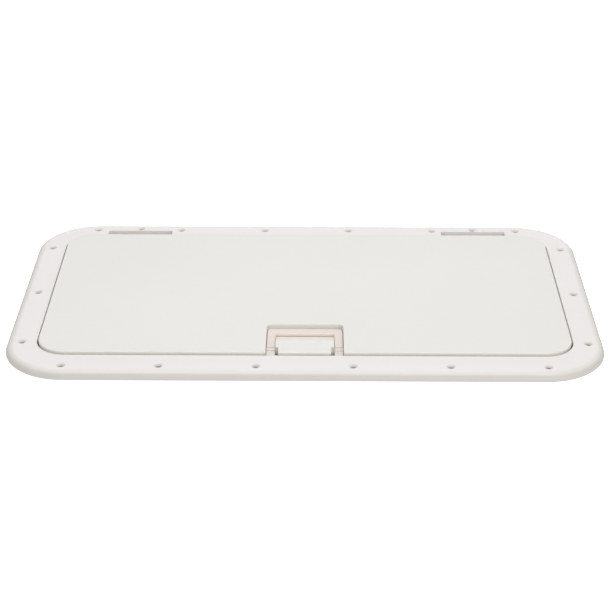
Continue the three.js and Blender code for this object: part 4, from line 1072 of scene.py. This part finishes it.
def spring_mesh(way):
    """A round wire carried along a helix about the pin. The wire's circle lies across its direction."""
    turns = 2.5
    t = np.linspace(0, 1, 110)[:, None]
    angle = t * turns * 2 * math.pi
    x0, x1 = sorted((way * 27.0, way * 29.0))
    radius = 1.9
    path = np.hstack([x0 + t * (x1 - x0), PIVOT_Y + radius * np.cos(angle), PIVOT_Z + radius * np.sin(angle)])
    along = np.gradient(path, axis=0)
    along /= np.linalg.norm(along, axis=1)[:, None]
    out = np.hstack([np.zeros_like(t), np.cos(angle), np.sin(angle)])
    side = np.cross(along, out)
    around = np.arange(14) * 2 * math.pi / 14
    wire = 0.3
    rings = (
        path[:, None, :]
        + wire * np.cos(around)[None, :, None] * out[:, None, :]
        + wire * np.sin(around)[None, :, None] * side[:, None, :]
    )
    return mesh_of([loft(rings)])


def strike_mesh():
    """Folded steel angle: an upright with a fold at its top that the hooks catch, on a narrower foot."""
    back = OPENING[2] + FIT
    front = back + 1.2
    corners = [(back, 15), (front, 15), (front, 16.8), (back + 3.6, 16.8), (back + 3.6, 18), (back, 18)]
    fold = rounded(corners, [0.05, 0.05, 0.5, 0.4, 0.4, 1.4], 5)
    top = sideways(prism(fold, -STRIKE_HALF, STRIKE_HALF))
    web = box(-STRIKE_HALF, STRIKE_HALF, back, front, 13.3, 16)
    reach = back + 11.8
    corners = [(back, 10.3), (reach, 10.3), (reach, 11.5), (front, 11.5), (front, 14), (back, 14)]
    foot_outline = rounded(corners, [1.4, 0.3, 0.3, 0.5, 0.05, 0.05], 5)
    foot = sideways(prism(foot_outline, -STRIKE_FOOT_HALF, STRIKE_FOOT_HALF))
    holes = [turned([(SCREW_BORE, 9), (SCREW_BORE, 13)], x, STRIKE_SCREW_Y, 24) for x in STRIKE_SCREW_XS]
    return build(top, ("UNION", [web, foot]), ("DIFFERENCE", holes))


def latch_fittings():
    for side, way, strike_x in (("left", -1, STRIKE_SCREW_XS[0]), ("right", 1, STRIKE_SCREW_XS[1])):
        x0, x1 = sorted((way * 24.3, way * 42.4))
        pin = mesh_of([rod(PIVOT_RADIUS, x0, x1, PIVOT_Y, PIVOT_Z, 0.3)])
        piece(f"pivot_rod_{side}", pin, "lid", STEEL, [f"handle_pin_{side}"])
        piece(f"return_spring_{side}", spring_mesh(way), "lid", SPRING_STEEL, [f"latch_spring_{side}"])
        for number, y in enumerate(TRAY_SCREW_YS, 1):
            mesh = screw(way * TRAY_SCREW_X, y, TRAY_SCREW_SEAT, TRAY_SCREW_LENGTH, 1)
            piece(f"tray_pan_screw_{side}_{number}", mesh, "lid", STEEL, [f"tray_screw_{side}_{number}"])
        mesh = screw(strike_x, STRIKE_SCREW_Y, STRIKE_SCREW_SEAT, STRIKE_SCREW_LENGTH, -1)
        piece(f"strike_pan_screw_{side}", mesh, "frame", STEEL, [f"strike_screw_{side}"])
    piece("strike_angle", strike_mesh(), "frame", STEEL, ["strike_bracket"], bevel=0.12)


frame_piece()
gasket_piece()
lid_piece()
hinge_pieces()
tray_piece()
handle_piece()
latch_fittings()


# ------------------------------------------------------------------ floor, light and camera


def floor():
    """A pale floor, bright enough of its own that almost no shadow shows on it."""
    f = Finish("pale_floor")
    tint = f.mix(f.noise(3.0, 2.0), (0.93, 0.93, 0.93, 1.0), (0.95, 0.95, 0.95, 1.0))
    glow = (1.0, 1.0, 1.0, 1.0)
    material = f.set(Base_Color=tint, Roughness=0.9, Emission_Color=glow, Emission_Strength=0.85)
    half = 9000.0
    corners = [(-half, -half, -0.5), (half, -half, -0.5), (half, half, -0.5), (-half, half, -0.5)]
    mesh = mesh_of([(corners, [(0, 1, 2, 3)])])
    mesh.materials.append(material)
    made = bpy.data.objects.new("floor", mesh)
    bpy.context.scene.collection.objects.link(made)
    made.visible_diffuse = False
    made.visible_glossy = False


def soft_light(name, place, target, width, depth, power):
    data = bpy.data.lights.new(name, "AREA")
    data.shape = "RECTANGLE"
    data.size = width
    data.size_y = depth
    data.energy = power
    made = bpy.data.objects.new(name, data)
    made.location = place
    way = Vector(target) - Vector(place)
    made.rotation_euler = way.to_track_quat("-Z", "Y").to_euler()
    bpy.context.scene.collection.objects.link(made)


def studio():
    world = bpy.data.worlds.new("studio")
    bpy.context.scene.world = world
    world.use_nodes = True
    sky = world.node_tree.nodes["Background"]
    sky.inputs["Color"].default_value = (1.0, 1.0, 1.0, 1.0)
    sky.inputs["Strength"].default_value = 0.62
    soft_light("overhead", (0.0, 0.05, 1.3), (0.0, 0.0, 0.0), 1.1, 0.8, 7.2)
    soft_light("front", (0.7, -1.9, 0.85), (0.0, 0.0, 0.0), 1.6, 0.9, 10.0)
    soft_light("rear", (0.0, 2.2, 0.3), (0.0, 0.0, 0.02), 1.8, 0.08, 3.0)
    bpy.context.scene.view_settings.view_transform = "Standard"


def camera():
    data = bpy.data.cameras.new("camera")
    data.sensor_width = 36.0
    data.lens = 98.4
    data.clip_end = 60.0
    made = bpy.data.objects.new("camera", data)
    made.location = (0.0108, -1.5997, 0.8379)
    made.rotation_euler = (QUARTER - 0.477, -0.001, 0.007)
    bpy.context.scene.collection.objects.link(made)
    bpy.context.scene.camera = made


floor()
studio()
camera()
